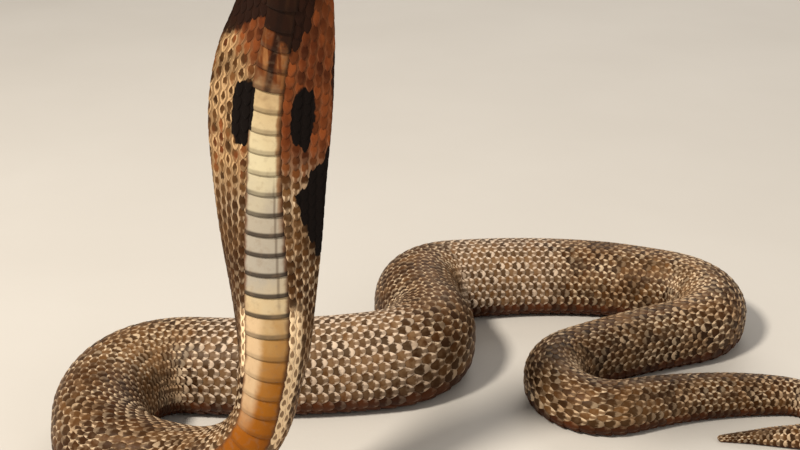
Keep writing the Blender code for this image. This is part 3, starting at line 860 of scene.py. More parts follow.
class Shields:
    """Collects the head's shields, given as corners of (distance forwards, degrees from the top)."""

    SIDES = 44
    SEAM = -0.07  # each shield grows a little over its given corners
    LIP_GAP = 0.16  # from the mouth's line to the lip shields
    EYE_RIM = 2.3  # radius of the shields' edge round the eye
    MAP_LENGTH = 56.0  # length of head and neck that the shields' map holds

    def __init__(self, outside):
        self.outside, self.head = outside, outside.head
        self.points, self.faces, self.uvs, self.values = [], [], [], {}
        self.size = 0

    def eye_rim(self, degrees):
        """A corner on a circle round the eye, from straight ahead and turning up."""
        turn = math.radians(degrees)
        reach = self.head.reach_of(EYE_AT)
        over, under = [self.head.section(reach, math.radians(EYE_ANGLE + way)) for way in (-5, 5)]
        radian = math.dist(over, under) / math.radians(10)
        return (EYE_AT + self.EYE_RIM * math.cos(turn),
                EYE_ANGLE - math.degrees(self.EYE_RIM * math.sin(turn) / radian))

    def upper_lip(self, t, above=LIP_GAP):
        return (t, math.degrees(float(self.head.mouth_angle(t, above))))

    def lower_lip(self, t):
        return self.upper_lip(t, -self.LIP_GAP)

    def add(self, corners, rise=0.40, dome=0.10, pole=False, pit=None):
        """One shield: a closed plate with a bevelled edge, set on the head."""
        corners = np.array(corners, float)
        reach = self.head.length - self.head.reach_of(corners[:, 0])
        turn = np.radians(corners[:, 1])
        flat = [reach * np.sin(turn), reach * np.cos(turn)] if pole else [reach, turn]
        outline = self.resampled(np.column_stack(flat), pole)
        middle, inner = outline.mean(axis=0), [0.45, 0.7, 0.88]
        if pit is not None:
            middle = np.array([self.head.length - self.head.reach_of(pit[0]), math.radians(pit[1])])
            inner = [0.55, 0.68, 0.78, 0.88, 0.95]
        centre = self.surface(middle[None, :], pole)[0]
        far = np.linalg.norm(self.surface(outline, pole) - centre, axis=1)[:, None]
        rings = [(self.SEAM / far, -0.25), (self.SEAM / far, 0.5 * rise),
                 ((self.SEAM + 0.12) / far, 0.84 * rise), ((self.SEAM + 0.42) / far, rise)]
        rings += [(np.full_like(far, share), rise + dome * (1 - (1 - share) ** 2))
                  for share in inner]
        chart = np.vstack([outline + (middle - outline) * share for share, _ in rings]
                          + [middle[None, :]])
        height = np.append(np.repeat([height for _, height in rings], self.SIDES), rise + dome)
        inward = np.vstack([share * far for share, _ in rings]).ravel()
        inward = np.append(np.clip(inward / 1.2, 0, 1), 1.0)
        run, share = self.run_share(chart, pole)
        relief, _ = head_relief(self.outside, run, share)
        hole = np.zeros(len(height))
        if pit is not None:
            gap = np.linalg.norm(self.surface(chart, pole) - centre, axis=1)
            hole = fall(gap, NOSTRIL_RADIUS + 0.1, 0.4)
            height = height + 0.12 * np.exp(-((gap - NOSTRIL_RADIUS - 0.25) / 0.28) ** 2)
            relief = np.where(hole > 0, -0.9 * hole, np.maximum(relief, -0.1))
        points = self.outside.place(run, share, height - COAT + np.maximum(relief, -1.0))
        self.collect(points, run, share, inward, hole, len(rings))

    def resampled(self, chart, pole):
        """Points evenly round the outline, with its corners rounded off."""
        closed = np.vstack([chart, chart[:1]])
        fine = np.vstack([a + (b - a) * np.linspace(0, 1, 24, endpoint=False)[:, None]
                          for a, b in zip(closed, closed[1:])])
        surface = self.surface(fine, pole)
        steps = np.linalg.norm(np.roll(surface, -1, axis=0) - surface, axis=1)
        length = np.concatenate([[0.0], np.cumsum(steps)])
        even = np.linspace(0, length[-1], self.SIDES, endpoint=False)
        fine = np.vstack([fine, fine[:1]])
        out = np.column_stack([np.interp(even, length, fine[:, k]) for k in range(2)])
        return (np.roll(out, 1, axis=0) + 2 * out + np.roll(out, -1, axis=0)) / 4

    def run_share(self, chart, pole):
        reach, turn = chart.T
        if pole:
            reach, turn = np.hypot(reach, turn), np.arctan2(reach, turn)
        run = self.outside.first + reach
        wrapped = (turn + math.pi) % (2 * math.pi) - math.pi
        share = self.outside.share_of(run, wrapped)
        return run, np.where(np.abs(turn) > math.pi, share + 2 * np.sign(turn), share)

    def surface(self, chart, pole):
        return self.outside.point(*self.run_share(chart, pole))

    def collect(self, points, run, share, inward, hole, rings):
        """Join a shield's rings into a closed plate that faces outwards."""
        n, tip = self.SIDES, rings * self.SIDES
        faces = ring_faces(rings, n) + fan(tip - n, n, tip) + [tuple(reversed(range(n)))]
        flat = unit(points[:n].mean(axis=0) - points[tip])
        turned = np.cross(points[n] - points[tip], points[n + n // 4] - points[tip])
        if turned @ flat > 0:
            faces = [face[::-1] for face in faces]
        ahead = (run - self.outside.first) / self.MAP_LENGTH
        middle = share[-1]
        round_it = np.where(np.abs(share - middle) > 1, share + 2 * np.sign(middle), share)
        uv = np.column_stack([0.02 + 0.96 * ahead, 0.5 + 0.24 * round_it])
        self.keep(points, run, share, inward, hole, faces, uv)

    def keep(self, points, run, share, inward, hole, faces, uv):
        """Add a closed plate to the mesh with its values."""
        values = marks_and_painted_light(self.outside, run, share)
        values["inward"] = inward
        values["lot"] = np.full_like(run, (len(self.points) * 0.381966) % 1.0)
        values["pit"] = hole
        for key, value in values.items():
            self.values.setdefault(key, []).append(value)
        self.uvs.append(uv[np.concatenate(faces)])
        self.points.append(points)
        self.faces += [tuple(self.size + c for c in face) for face in faces]
        self.size += len(points)

    def eye_ring(self, centre, axis, right, up, side):
        """The narrow rim of scales that holds the eye's clear scale."""
        turns, n = self.SIDES, 10
        turn = 2 * math.pi * np.arange(turns)[:, None] / turns
        tilt = 2 * math.pi * np.arange(n) / n
        beads = 0.035 * np.abs(np.sin(turn * 4.5)) ** 0.5
        out = EYE_RADIUS * 0.93 + (0.19 + beads) * np.cos(tilt)
        high = EYE_RADIUS * 0.36 + (0.13 + beads) * np.sin(tilt)
        flat = right * np.cos(turn) + up * np.sin(turn)
        points = centre + flat[:, None] * out[..., None] + axis * high[..., None]
        inward = np.tile(0.25 + 0.5 * np.maximum(np.sin(tilt), 0.0), turns)
        run = np.full(turns * n, self.outside.body.start - self.head.reach_of(EYE_AT))
        share = self.outside.share_of(run, np.full_like(run, side * math.radians(EYE_ANGLE)))
        uv = np.column_stack([0.9 + 0.04 * np.tile(np.linspace(0, 1, n), turns),
                              0.5 + side * 0.1 + 0.04 * np.repeat(np.linspace(0, 1, turns), n)])
        self.keep(points.reshape(-1, 3), run, share, inward, np.zeros_like(run),
                  flipped(ring_faces(turns, n, closed=True)), uv)

    def both(self, corners, pit=None, **options):
        """A shield and its mirror image on the other side."""
        self.add(corners, pit=pit, **options)
        self.add([(t, -a) for t, a in corners][::-1], pit=pit and (pit[0], -pit[1]), **options)

    def finish(self, name, material):
        return make_object(name, np.vstack(self.points), self.faces,
                           {k: np.concatenate(v) for k, v in self.values.items()},
                           np.vstack(self.uvs), material)


TEMPORALS = [
    [(23.3, 53), (21.4, 52), (17.8, 49), (17.4, 66), (20.5, 69), (23.6, 66)],
    [(23.6, 68), (20.4, 71), (17.4, 68), (17.2, 84), (20.0, 86), (24.0, 86)],
    [(17.4, 48), (14.4, 37), (12.0, 40), (12.2, 56), (14.8, 60), (17.1, 60)],
    [(17.1, 62), (14.7, 62), (12.0, 58), (11.4, 70), (13.8, 75), (16.9, 75)],
    [(16.9, 77), (13.7, 77), (11.2, 72), (10.4, 82), (12.4, 88), (16.8, 88)],
]
LOWER_LIPS = [41.1, 39.6, 37.4, 34.6, 30.6, 27.0, 23.6, 20.2, 16.8, 13.2]
LOWER_LIP_DEPTH = [(12, 123), (30, 127), (38, 131), (41, 142)]  # place, degrees from the top


def head_shields(outside, material):
    """All the large shields of a cobra's head."""
    s = Shields(outside)
    rim, up, low = s.eye_rim, s.upper_lip, s.lower_lip
    # The top, from the snout back
    s.add([(40.9, 0), (40.9, 38), (41.1, 75), (41.0, 101), (41.55, 112), (41.8, 130),
           (41.86, 180), (41.8, 230), (41.55, 248), (41.0, 259), (41.1, 285), (40.9, 322)],
          pole=True, dome=0.25)
    s.both([(37.6, 0), (37.9, 22), (38.6, 44), (40.3, 50), (40.75, 36), (40.75, 0)])
    s.both([(33.6, 0), (33.6, 24), (33.8, 46), (36.2, 50), (38.3, 46), (37.7, 24), (37.4, 0)])
    s.add([(33.4, -22), (33.6, 0), (33.4, 22), (30.5, 17), (27.4, 14), (24.9, 0), (27.4, -14),
           (30.5, -17)], dome=0.2)
    s.both([(33.3, 24), (33.5, 45), rim(55), rim(90), rim(125), (25.2, 49), (25.2, 22),
            (27.4, 16), (30.5, 19)], dome=0.3, rise=0.5)
    s.both([(24.6, 0), (27.0, 14.5), (25.0, 22), (24.9, 46), (21.5, 50), (17.5, 46), (14.6, 34),
            (13.2, 16), (13.0, 0)], dome=0.3)
    # The sides: nostril, round the eye, temples
    s.both([(40.3, 52), (38.7, 46), (36.5, 51), (35.9, 66), (36.2, 84), (38.4, 90), (40.4, 88),
            (40.9, 74)], pit=(NOSTRIL_AT, NOSTRIL_ANGLE), dome=0.05)
    s.both([(36.2, 53), (33.7, 48), rim(50), rim(20), rim(-15), (33.6, 82), (35.6, 78),
            (35.7, 66)])
    s.both([rim(130), (25.0, 51), (23.6, 55), (23.9, 64), rim(165)])
    s.both([rim(168), (23.9, 66), (23.7, 76), rim(200)])
    s.both([rim(203), (23.7, 78), (24.4, 87), (26.6, 89), rim(232)])
    for corners in TEMPORALS:
        s.both(corners)
    # The upper lip, from the snout back
    s.both([(40.9, 90), (39.0, 92), up(39.0), up(40.9)])
    s.both([(38.8, 92), (36.4, 87), up(36.4), up(38.8)])
    s.both([(36.2, 86), (33.4, 84), rim(-20), rim(-55), (31.0, 90), up(31.4), up(36.2)])
    s.both([rim(-60), rim(-90), rim(-125), (27.0, 90), up(26.8), up(31.2), (30.8, 90)])
    s.both([(26.8, 91), (24.2, 89), (22.2, 89), up(22.0), up(26.6)])
    s.both([(22.0, 89), (19.5, 88.5), (16.8, 90), up(16.4), up(21.8)], dome=0.25)
    s.both([(16.6, 90), (12.4, 90), (10.3, 93), up(10.0, 0.3), up(16.2)], dome=0.2)
    # The lower lip and the chin
    s.add([(41.3, 128), (41.62, 150), (41.68, 180), (41.62, 210), (41.3, 232), (40.7, 205),
           (40.2, 180), (40.7, 155)], pole=True)
    for ahead, behind in zip(LOWER_LIPS, LOWER_LIPS[1:]):
        a, b = ahead - 0.1, behind + 0.1
        deep = float(steps_at((a + b) / 2, LOWER_LIP_DEPTH))
        s.both([low(a), low(b), (b, deep), (a, deep + 1)])
    s.both([(40.2, 178.5), (40.5, 152), (38.4, 137), (34.2, 131), (31.2, 140), (31.0, 178.5)])
    s.both([(30.8, 178), (31.0, 142), (28.4, 132), (25.2, 138), (23.4, 160), (24.4, 178)])
    s.both([(34.0, 129.5), (28.6, 129.5), (25.4, 135), (24.2, 130), (28.4, 128), (33.8, 128.5)],
           dome=0.05, rise=0.3)
    for side in (1, -1):
        s.eye_ring(*eye_axes(outside, side), side)
    return s.finish("head_shields", material)


def eye_axes(outside, side):
    """The eye's middle and the directions out of it, ahead of it and over it."""
    head = outside.head
    reach = head.reach_of(EYE_AT)
    _, x, z = head.section(reach, math.radians(EYE_ANGLE))
    centre = (head.origin + head.forward * EYE_AT + head.side * side * (x - EYE_SUNK)
              + head.up * z)
    run = np.array([outside.body.start - reach])
    share = outside.share_of(run, np.array([side * math.radians(EYE_ANGLE)]))
    axis = unit(outside.normal(run, share)[0] + 0.15 * head.forward)
    right = unit(np.cross(axis, head.up))
    return centre, axis, right, np.cross(right, axis)


def make_eye(outside, name, side, material):
    """A clear scale over a dark iris and a round pupil."""
    centre, axis, right, up = eye_axes(outside, side)
    rings, turns = 28, 40
    tilt = math.pi * np.arange(1, rings)[:, None, None] / rings
    turn = 2 * math.pi * np.arange(turns)[:, None] / turns
    flat = right * np.cos(turn) + up * np.sin(turn)
    ball = centre + EYE_RADIUS * (axis * np.cos(tilt) + flat * np.sin(tilt))
    points = np.vstack([centre + axis * EYE_RADIUS, ball.reshape(-1, 3),
                        centre - axis * EYE_RADIUS])
    polar = np.concatenate([[0.0], np.repeat(tilt.ravel(), turns), [math.pi]])
    end = len(points) - 1
    faces = fan(1, turns, 0)
    faces += [tuple(1 + c for c in face) for face in flipped(ring_faces(rings - 1, turns))]
    faces += [(b, a, tip) for a, b, tip in fan(end - turns, turns, end)]
    corners = np.concatenate(faces)
    turn = 2 * math.pi * ((corners - 1) % turns) / turns
    out = 0.48 * polar[corners] / math.pi
    uvs = 0.5 + np.column_stack([out * np.cos(turn), out * np.sin(turn)])
    return make_object(name, points, faces, {"polar": polar}, uvs, material)


# Materials


class Wire:
    """A number or colour that one node hands on, for use in sums."""

    def __init__(self, nodes, socket):
        self.nodes, self.socket = nodes, socket

    def __add__(self, other):
        return self.nodes.math("ADD", self, other)

    def __sub__(self, other):
        return self.nodes.math("SUBTRACT", self, other)

    def __mul__(self, other):
        return self.nodes.math("MULTIPLY", self, other)

    def __truediv__(self, other):
        return self.nodes.math("DIVIDE", self, other)

    def __abs__(self):
        return self.nodes.math("ABSOLUTE", self)

    def or_more(self, other):
        """The larger of two numbers."""
        return self.nodes.math("MAXIMUM", self, other)


class Nodes:
    """Short names for making a node tree."""

    def __init__(self, name):
        self.material = bpy.data.materials.new(name)
        self.material.use_nodes = True
        self.tree = self.material.node_tree
        self.shader = self.tree.nodes["Principled BSDF"]

    def node(self, kind, inputs, output=0):
        """A new node with its inputs filled, and what it hands on."""
        node = self.tree.nodes.new("ShaderNode" + kind)
        for key, source in inputs.items():
            self.link(source, node.inputs[key])
        return node, Wire(self, node.outputs[output])

    def link(self, source, target):
        if isinstance(source, Wire):
            self.tree.links.new(source.socket, target)
        elif isinstance(source, tuple):
            target.default_value = (*source, 1.0)
        else:
            target.default_value = source

    def value(self, name):
        node, wire = self.node("Attribute", {}, "Fac")
        node.attribute_name = name
        return wire

    def math(self, operation, a, b=0.0):
        node, wire = self.node("Math", {0: a, 1: b})
        node.operation = operation
        return wire

    def mix(self, factor, a, b):
        """A colour between a and b."""
        node = self.tree.nodes.new("ShaderNodeMix")
        node.data_type = "RGBA"
        for key, source in (("Factor", factor), (6, a), (7, b)):
            self.link(source, node.inputs[key])
        return Wire(self, node.outputs[2])

    def ramp(self, source, low, high, to_low=0.0, to_high=1.0):
        """A smooth change of value between two places."""
        node, wire = self.node("MapRange", {"Value": source, "From Min": low, "From Max": high,
                                            "To Min": to_low, "To Max": to_high})
        node.interpolation_type = "SMOOTHSTEP"
        return wire

    def colours(self, source, stops):
        """Colours along a value, one at each stop."""
        node, wire = self.node("ValToRGB", {0: source})
        elements = node.color_ramp.elements
        while len(elements) < len(stops):
            elements.new(0.5)
        for element, (place, colour) in zip(elements, stops):
            element.position = place
            element.color = (*colour, 1.0)
        return wire

    def noise(self, size, detail=3.0, stretch=(1.0, 1.0, 1.0)):
        """Noise in the animal's own coordinates, with marks about size millimetres across."""
        _, place = self.node("TexCoord", {}, "Object")
        scale = [s / (size * MM) for s in stretch]
        _, place = self.node("Mapping", {"Vector": place, "Scale": scale})
        return self.node("TexNoise", {"Vector": place, "Scale": 1.0, "Detail": detail}, "Fac")[1]

    def wander(self, size, amount):
        """Noise round zero, to make an edge ragged."""
        return (self.noise(size) - 0.5) * amount

    def bump(self, height, distance):
        """Fine relief, distance millimetres high."""
        _, wire = self.node("Bump", {"Strength": 1.0, "Distance": distance * MM, "Height": height})
        self.link(wire, self.shader.inputs["Normal"])

    def grain(self, noise, distance, low, high, smooth, rough):
        """Fine relief from a noise, and the roughness that goes with it."""
        self.bump(noise, distance)
        return self.ramp(noise, low, high, smooth, rough)

    def finish(self, colour, roughness, reflects=0.08):
        for key, source in (("Base Color", colour), ("Roughness", roughness),
                            ("Specular IOR Level", reflects)):
            self.link(source, self.shader.inputs[key])
        return self.material


DARK_BROWN, MID_BROWN = (0.040, 0.014, 0.0025), (0.100, 0.045, 0.014)
GREY_BROWN = (0.185, 0.116, 0.062)
CREAM, PALE_TAN = (0.61, 0.45, 0.29), (0.38, 0.24, 0.132)
RUST, ORANGE_BROWN, ORANGE_TAN = (0.084, 0.018, 0.004), (0.165, 0.042, 0.010), (0.36, 0.16, 0.055)
NEAR_BLACK = (0.004, 0.002, 0.0015)
# red-brown of the painted shade on the lower sides and on the body plates' ends near the floor
RED_BROWN = (0.050, 0.012, 0.002)
# dark brown of the throat, there partly painted shadow of the head; also the head's dark seams
THROAT_BROWN = (0.012, 0.004, 0.002)
HEAD_BROWN, HEAD_TAN = (0.050, 0.024, 0.010), (0.115, 0.062, 0.028)
LIP_TAN, CHIN_CREAM = (0.30, 0.18, 0.085), (0.46, 0.33, 0.19)
# pale edges of the hood's front scales: a painted-lit copy and a painted-shade copy
HOOD_LIT_EDGE, HOOD_SHADED_EDGE = (0.50, 0.31, 0.15), (0.165, 0.046, 0.015)
FOOT_EDGE, GREY_CREAM = (0.88, 0.65, 0.40), (0.66, 0.52, 0.40)
PLATE_COLOURS = [  # from the throat down the neck and on along the belly
    (0.225, (0.115, 0.030, 0.007)), (0.252, (0.50, 0.36, 0.19)), (0.33, (0.58, 0.50, 0.32)),
    (0.395, (0.36, 0.31, 0.24)), (0.47, (0.33, 0.29, 0.235)), (0.502, (0.48, 0.37, 0.22)),
    (0.545, (0.34, 0.185, 0.060)), (0.61, (0.28, 0.098, 0.009)), (0.69, (0.25, 0.072, 0.004)),
    (0.80, (0.12, 0.040, 0.012)), (0.95, (0.090, 0.040, 0.018)),
]
# first of the two: painted shade on the plates' right side down the hood
PLATE_RIGHT_SHADE, PLATE_LEFT = (0.20, 0.082, 0.026), (0.56, 0.40, 0.24)
PLATE_ENDS, PLATE_MOTTLE = (0.105, 0.040, 0.014), (0.20, 0.13, 0.08)
# first of the two: a painted shade line down the plates' right side
PLATE_CREASE_SHADE, PLATE_SEAM = (0.080, 0.050, 0.030), (0.030, 0.020, 0.014)
IRIS_DARK, IRIS_PALE, IRIS_GOLD = (0.020, 0.008, 0.003), (0.046, 0.019, 0.007), (0.17, 0.085, 0.026)
PUPIL, EYE_BACK = (0.002, 0.0015, 0.0015), (0.006, 0.004, 0.003)
FLOOR_DARK, FLOOR_PALE = (0.54, 0.50, 0.45), (0.60, 0.56, 0.51)


def ground_colour(n):
    """The brown that the whole back and the sides share."""
    # the paler, greyer zones, partly painted sheen, lighten the brown
    grey = n.value("grey")
    broad = n.noise(26.0) + grey * 0.12
    fine = n.noise(3.2, 4.0) + grey * 0.15
    colour = n.mix(n.ramp(broad, 0.40, 0.68), DARK_BROWN, MID_BROWN)
    return n.mix(n.ramp(fine, 0.45, 0.75, 0.0, 0.45), colour, GREY_BROWN)


def marked_and_shaded(n, colour, amount=1.0):
    """The warm front of the hood, painted as lit on its left side and shaded on its right, and the
    painted shade of the lower sides, over a colour.
    """
    patches = n.noise(5.0, 4.0, (1.0, 1.0, 0.4))
    # painted light and shade: a rust copy for the hood's shaded right side, a browner copy for its
    # lit left side
    shaded = n.colours(patches, [(0.36, RUST), (0.60, ORANGE_BROWN)])
    sunny = n.colours(patches, [(0.36, DARK_BROWN), (0.50, MID_BROWN), (0.66, ORANGE_BROWN)])
    warm = n.mix(n.value("lit"), shaded, sunny)
    colour = n.mix(n.value("front") * (0.95 * amount), colour, warm)
    # painted shade: the lower sides go red-brown
    flank_shade = n.ramp(n.value("flank_shade") + n.noise(9.0) * 0.3, 0.55, 1.10, 0.0, 0.95)
    return n.mix(flank_shade, colour, RED_BROWN)


def blackened(n, colour):
    """The spectacle, the black spots, the near-black painted shadow on the hood's right side and the
    dark throat, partly painted shadow of the head, over everything else.
    """
    colour = n.mix(n.value("rim") * 0.92, colour, NEAR_BLACK)
    colour = n.mix(n.value("ring") * 0.92, colour, CREAM)
    wobble = n.wander(2.6, 0.9)
    colour = n.mix(n.ramp(n.value("spot") + wobble, 0.35, 0.55), colour, NEAR_BLACK)
    # dark throat: partly a dark band, partly painted shadow of the head
    throat = n.ramp(n.value("throat") + wobble, 0.3, 0.7, 0.0, 0.95)
    colour = n.mix(throat, colour, THROAT_BROWN)
    # painted shadow: near-black on the hood's right side
    return n.mix(n.ramp(n.value("shadow_wedge") + wobble, 0.3, 0.6), colour, NEAR_BLACK)


def headed(n, colour):
    """The head's own brown, tan lips and pale chin."""
    brown = n.mix(n.ramp(n.noise(6.0, 4.0), 0.35, 0.7), HEAD_BROWN, HEAD_TAN)
    colour = n.mix(n.value("on_head"), colour, brown)
    colour = n.mix(n.value("lips") * 0.6, colour, LIP_TAN)
    return n.mix(n.value("chin") * 0.75, colour, CHIN_CREAM)


def toned(n, colour, low, high):
    """A colour made darker or lighter from scale to scale."""
    value = n.ramp(n.value("lot"), 0.0, 1.0, low, high)
    return n.node("HueSaturation", {"Value": value, "Color": colour})[1]


def pale_tint(n):
    """The colour of the scales' pale edges: cream, but on the hood's front a painted-lit tan on its
    left side and a painted-shade dark orange brown on its right.
    """
    tint = n.mix(n.ramp(n.noise(14.0), 0.35, 0.65), PALE_TAN, CREAM)
    # greyer pale edges in the paler zones, partly painted sheen
    tint = n.mix(n.value("grey") * 0.7, tint, GREY_CREAM)
    # painted light and shade: tan edges on the hood's lit side, dark orange brown on its shaded side
    warm = n.mix(n.value("lit"), HOOD_SHADED_EDGE, HOOD_LIT_EDGE)
    tint = n.mix(n.value("front") * 0.95, tint, warm)
    return n.mix(n.value("foot"), tint, FOOT_EDGE)


def skin_material():
    """The skin between the scales: pale towards the neck, dark seams on the head."""
    n = Nodes("skin")
    bare = n.ramp(n.value("run"), 0.58, 0.74, 0.62, 0.12)
    colour = marked_and_shaded(n, n.mix(bare, ground_colour(n), pale_tint(n)), 0.35)
    colour = n.mix(n.value("foot") * 0.85, colour, CREAM)
    colour = blackened(n, headed(n, colour))
    seams = n.value("on_head") * n.ramp(n.value("chin"), 0.3, 1.0, 0.75, 0.35)
    colour = n.mix(seams, colour, THROAT_BROWN)
    colour = n.mix(n.value("pit"), colour, NEAR_BLACK)
    return n.finish(colour, n.grain(n.noise(0.9, 5.0), 0.12, 0.3, 0.7, 0.52, 0.7))


def scale_material(name):
    """Small scales: brown, each with a pale bar at its tail end that comes and goes."""
    n = Nodes(name)
    lot, tail, front, foot = [n.value(key) for key in ("lot", "tail", "front", "foot")]
    colour = toned(n, marked_and_shaded(n, headed(n, ground_colour(n))), 0.55, 1.4)
    colour = n.mix(n.value("calm") * 0.6, colour, DARK_BROWN)
    colour = n.mix(foot * 0.6, colour, PALE_TAN)
    ragged = n.wander(1.4, 0.50)
    bar = n.ramp(tail + ragged, 0.55, 0.73) * n.ramp(front, 0.0, 1.0, 1.0, 0.35)
    middle = n.ramp(lot, 0.1, 0.3, 0.9, 0.15)
    sides = n.ramp(abs(n.value("upper")) + ragged, 0.25, 0.50, middle, 1.0)
    # Where the pale goes all round the scale, more of it on the hood's side painted as lit
    wide = front * (n.value("lit") + 0.4) * n.ramp(n.noise(6.0, 4.0), 0.38, 0.62, 0.15, 0.95)
    wide = wide.or_more(foot)
    inward = n.value("inward") + ragged - wide * 0.18 - foot * 0.10
    rim = n.ramp(inward, 0.04, 0.22, 0.5, 0.0) * (wide + 1.0)
    rim = rim * wide.or_more(n.ramp(tail, 0.3, 0.6))
    # more pale flecks in the paler zones, partly painted sheen
    patch = n.ramp(n.noise(17.0), 0.36, 0.62).or_more(n.value("grey"))
    chance = n.ramp(lot + patch * 0.7, 0.35, 1.0, 0.3, 1.0).or_more(wide)
    pale = bar.or_more(rim) * chance * sides.or_more(wide)
    # fewer pale marks where calm, in the painted shade of the lower sides, and on the head
    for key, low, high, least in (("calm", 0.0, 1.0, 0.3), ("flank_shade", 0.50, 0.95, 0.12),
                                  ("on_head", 0.0, 1.0, 0.3)):
        pale = pale * n.ramp(n.value(key), low, high, 1.0, least)
    colour = blackened(n, n.mix(pale * 1.25, colour, pale_tint(n)))
    return n.finish(colour, n.grain(n.noise(0.5), 0.05, 0.25, 0.75, 0.40, 0.56))


def belly_material():
    """Plates: rust at the throat, cream, then grey down the neck, tan to orange at its foot."""
    n = Nodes("belly plates")
    place = (n.value("run") + 0.251) / 0.32 + n.wander(9.0, 0.06)
    side = n.value("upper")
    across = abs(side)
    colour = n.colours(place, PLATE_COLOURS)
    streak = n.noise(3.0, 4.0, (1.0, 1.0, 0.18))
    rusty = n.ramp(place, 0.24, 0.20) * n.ramp(streak, 0.46, 0.64, 0.0, 0.7)
    colour = n.mix(rusty, colour, ORANGE_TAN)
    median = n.ramp(place, 0.25, 0.22) * n.ramp(across, 0.10, 0.32, 0.9, 0.0)
    colour = n.mix(median, colour, THROAT_BROWN)
    wander = n.wander(4.0, 0.25)
    # painted shade: the plates' right side brown down the hood
    right = n.ramp(side + wander, 0.62, 0.78) * n.ramp(place, 0.44, 0.36, 0.0, 0.85)
    colour = n.mix(right, colour, PLATE_RIGHT_SHADE)
    low = n.ramp(place, 0.50, 0.53) * n.ramp(place, 0.68, 0.60)
    left = n.ramp(side + wander, 0.05, -0.35) * low
    colour = n.mix(left * 0.85, colour, PLATE_LEFT)
    ends = across + wander
    # on the body the plates' ends go red-brown, partly their own darker ends and partly painted
    # shade where they meet the floor
    end_brown = n.mix(n.ramp(place, 0.72, 0.84), PLATE_ENDS, RED_BROWN)
    colour = n.mix(n.ramp(ends, 0.74, 0.95, 0.0, 0.92), colour, end_brown)
    # painted shade: the body's plates red-brown away from their middle, where they meet the floor
    darker = n.ramp(place, 0.76, 0.90) * n.ramp(ends, 0.35, 0.70)
    colour = n.mix(darker, colour, RED_BROWN)
    grey = n.ramp(place, 0.34, 0.38) * n.ramp(place, 0.52, 0.48)
    # painted shade: a darker line down the plates' right side
    crease_shade = n.ramp(abs(side - 0.56), 0.02, 0.09, 0.55, 0.0) * grey
    colour = n.mix(crease_shade, colour, PLATE_CREASE_SHADE)
    strong = n.ramp(place, 0.33, 0.40, 0.35, 0.9) * n.ramp(place, 0.50, 0.56, 1.0, 0.25)
    colour = n.mix(n.ramp(n.value("tail"), 0.86, 0.98) * strong, colour, PLATE_SEAM)
    colour = n.mix(n.ramp(n.noise(2.6, 4.0), 0.50, 0.72, 0.0, 0.25), colour, PLATE_MOTTLE)
    colour = blackened(n, n.mix(n.value("chin") * 0.9, colour, CHIN_CREAM))
    grain = n.noise(0.8, 3.0, (1.0, 1.0, 3.0))
    return n.finish(colour, n.grain(grain, 0.05, 0.25, 0.75, 0.36, 0.52))


def head_material():
    """Head shields: smooth dark brown, paler on the lips and chin, dark in the seams."""
    n = Nodes("head shields")
    colour = toned(n, headed(n, (0.0, 0.0, 0.0)), 0.8, 1.25)
    colour = n.mix(n.ramp(n.value("inward"), 0.04, 0.30, 0.7, 0.0), colour, THROAT_BROWN)
    colour = n.mix(n.value("pit"), colour, NEAR_BLACK)
    return n.finish(colour, n.grain(n.noise(0.7), 0.03, 0.25, 0.75, 0.30, 0.45), 0.35)


def eye_material():
    """The eye: a pupil, a fine gold line round it and a dark iris, under a clear coat."""
    n = Nodes("eye")
    streaks = n.noise(0.35)
    iris = n.mix(n.ramp(streaks, 0.35, 0.7), IRIS_DARK, IRIS_PALE)
    polar = n.value("polar")
    gold = n.ramp(polar, 0.42, 0.45) * n.ramp(polar, 0.46, 0.50, 1.0, 0.0)
    colour = n.mix(gold * 0.45, iris, IRIS_GOLD)
    colour = n.mix(n.ramp(polar, 0.415, 0.44, 1.0, 0.0), colour, PUPIL)
    colour = n.mix(n.ramp(polar, 0.80, 1.15), colour, EYE_BACK)
    n.shader.inputs["Coat Weight"].default_value = 0.25
    n.shader.inputs["Coat Roughness"].default_value = 0.03
    return n.finish(colour, n.ramp(streaks, 0.3, 0.7, 0.30, 0.40), 0.1)


def floor_material():
    n = Nodes("floor")
    n.bump(n.noise(3.0, 4.0), 0.05)
    return n.finish(n.mix(n.noise(160.0, 4.0), FLOOR_DARK, FLOOR_PALE), 0.75, 0.5)


# The stage, and all together


def make_stage():
    bpy.ops.mesh.primitive_plane_add(size=12.0, location=(0.0, 2.0, 0.0))
    floor = bpy.context.object
    floor.name = "floor"
    floor.data.materials.append(floor_material())


def add_light(name, place, size, power, colour):
    """A round soft light that faces the animal."""
    data = bpy.data.lights.new(name, "AREA")
    data.shape = "DISK"
    data.size = size
    data.energy = power
    data.color = colour
    lamp = bpy.data.objects.new(name, data)
    bpy.context.scene.collection.objects.link(lamp)
    lamp.location = place
    x, y, z = np.subtract(place, LIGHTS_AIM)
    lamp.rotation_euler = (math.atan2(math.hypot(x, y), z), 0.0, math.atan2(x, -y))


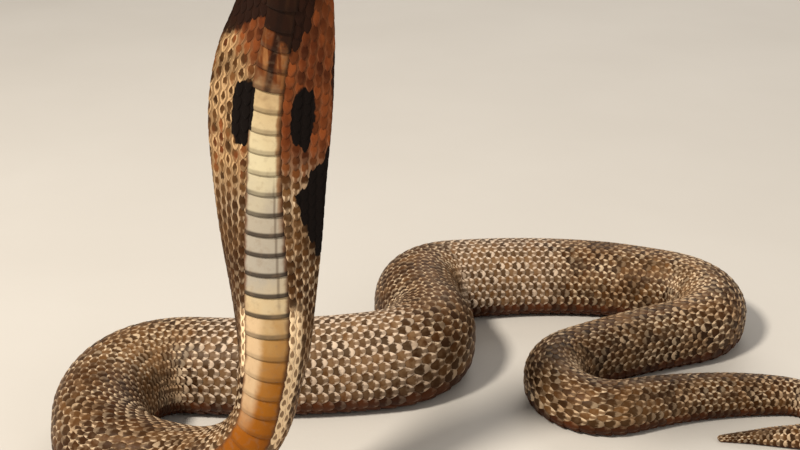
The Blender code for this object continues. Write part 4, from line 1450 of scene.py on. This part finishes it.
def light_and_camera():
    scene = bpy.context.scene
    world = bpy.data.worlds.new("studio")
    world.use_nodes = True
    background = world.node_tree.nodes["Background"]
    background.inputs["Color"].default_value = (1.0, 0.96, 0.90, 1.0)
    background.inputs["Strength"].default_value = 0.40
    scene.world = world
    add_light("key", (-0.95, -0.75, 1.4), 0.30, 43.0, (1.0, 0.94, 0.84))
    add_light("fill", (1.2, -0.9, 0.8), 1.2, 4.0, (1.0, 0.96, 0.92))
    add_light("back", (0.4, 1.4, 1.1), 1.0, 6.0, (1.0, 0.98, 0.95))
    data = bpy.data.cameras.new("camera")
    data.lens = CAMERA_LENS
    data.sensor_width = SENSOR
    data.clip_start = 0.01
    camera = bpy.data.objects.new("camera", data)
    camera.location = CAMERA_AT
    camera.rotation_euler = (math.radians(90 - CAMERA_TILT), 0.0, 0.0)
    scene.collection.objects.link(camera)
    scene.camera = camera
    scene.view_settings.view_transform = "Standard"


def make_animal():
    body = Body()
    outside = Outside(body, Head(body))
    random = np.random.default_rng(SEED)

    skin = make_skin(outside, skin_material())
    flesh = [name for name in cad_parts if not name.startswith("eye")]
    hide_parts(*flesh)

    materials = {part: scale_material(part + " scales") for part in ("body", "neck", "tail")}
    places = scale_places(outside, random)
    run = places["run"]
    for name, first, last, strips, part, roundness in (
            ("scales_nape", body.start - 30, -220, 2, "neck", 1.8),
            ("scales_hood", -220, -109, 2, "neck", 1.5),
            ("scales_neck", -109, 40, 2, "neck", 1.55),
            ("scales_front", 40, 230, 2, "body", 1.7),
            ("scales_middle", 230, 420, 2, "body", 1.7),
            ("scales_back", 420, 640, 2, "body", 1.7),
            ("scales_tail", 640, body.end + 1, 3, "tail", 1.7)):
        keep = (run >= first) & (run < last)
        scales(outside, name, places, keep, Template(roundness), Unwrap(first, last, strips),
               materials[part], part + "_scales")

    material = belly_material()
    starts = stepped(body.start - 12.0, body.end - 4.0, PLATE_PITCH)
    starts, pitches = starts[:-1], np.diff(starts)
    for name, low, high, strips, part in (
            ("plates_neck", -400, 0, 2, "neck"), ("plates_body", 0, 640, 3, "body"),
            ("plates_tail", 640, 900, 2, "tail")):
        keep = (starts >= low) & (starts < high)
        runs = starts[keep]
        belly_plates(outside, name, runs, pitches[keep],
                     Unwrap(runs[0] - 2, runs[-1] + 8, strips), material, part + "_scales")

    head_shields(outside, head_material())
    shine = eye_material()
    for name, side in (("eye_left", 1), ("eye_right", -1)):
        eye = make_eye(outside, name + "_ball", side, shine)
        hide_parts(name)


make_animal()
make_stage()
light_and_camera()
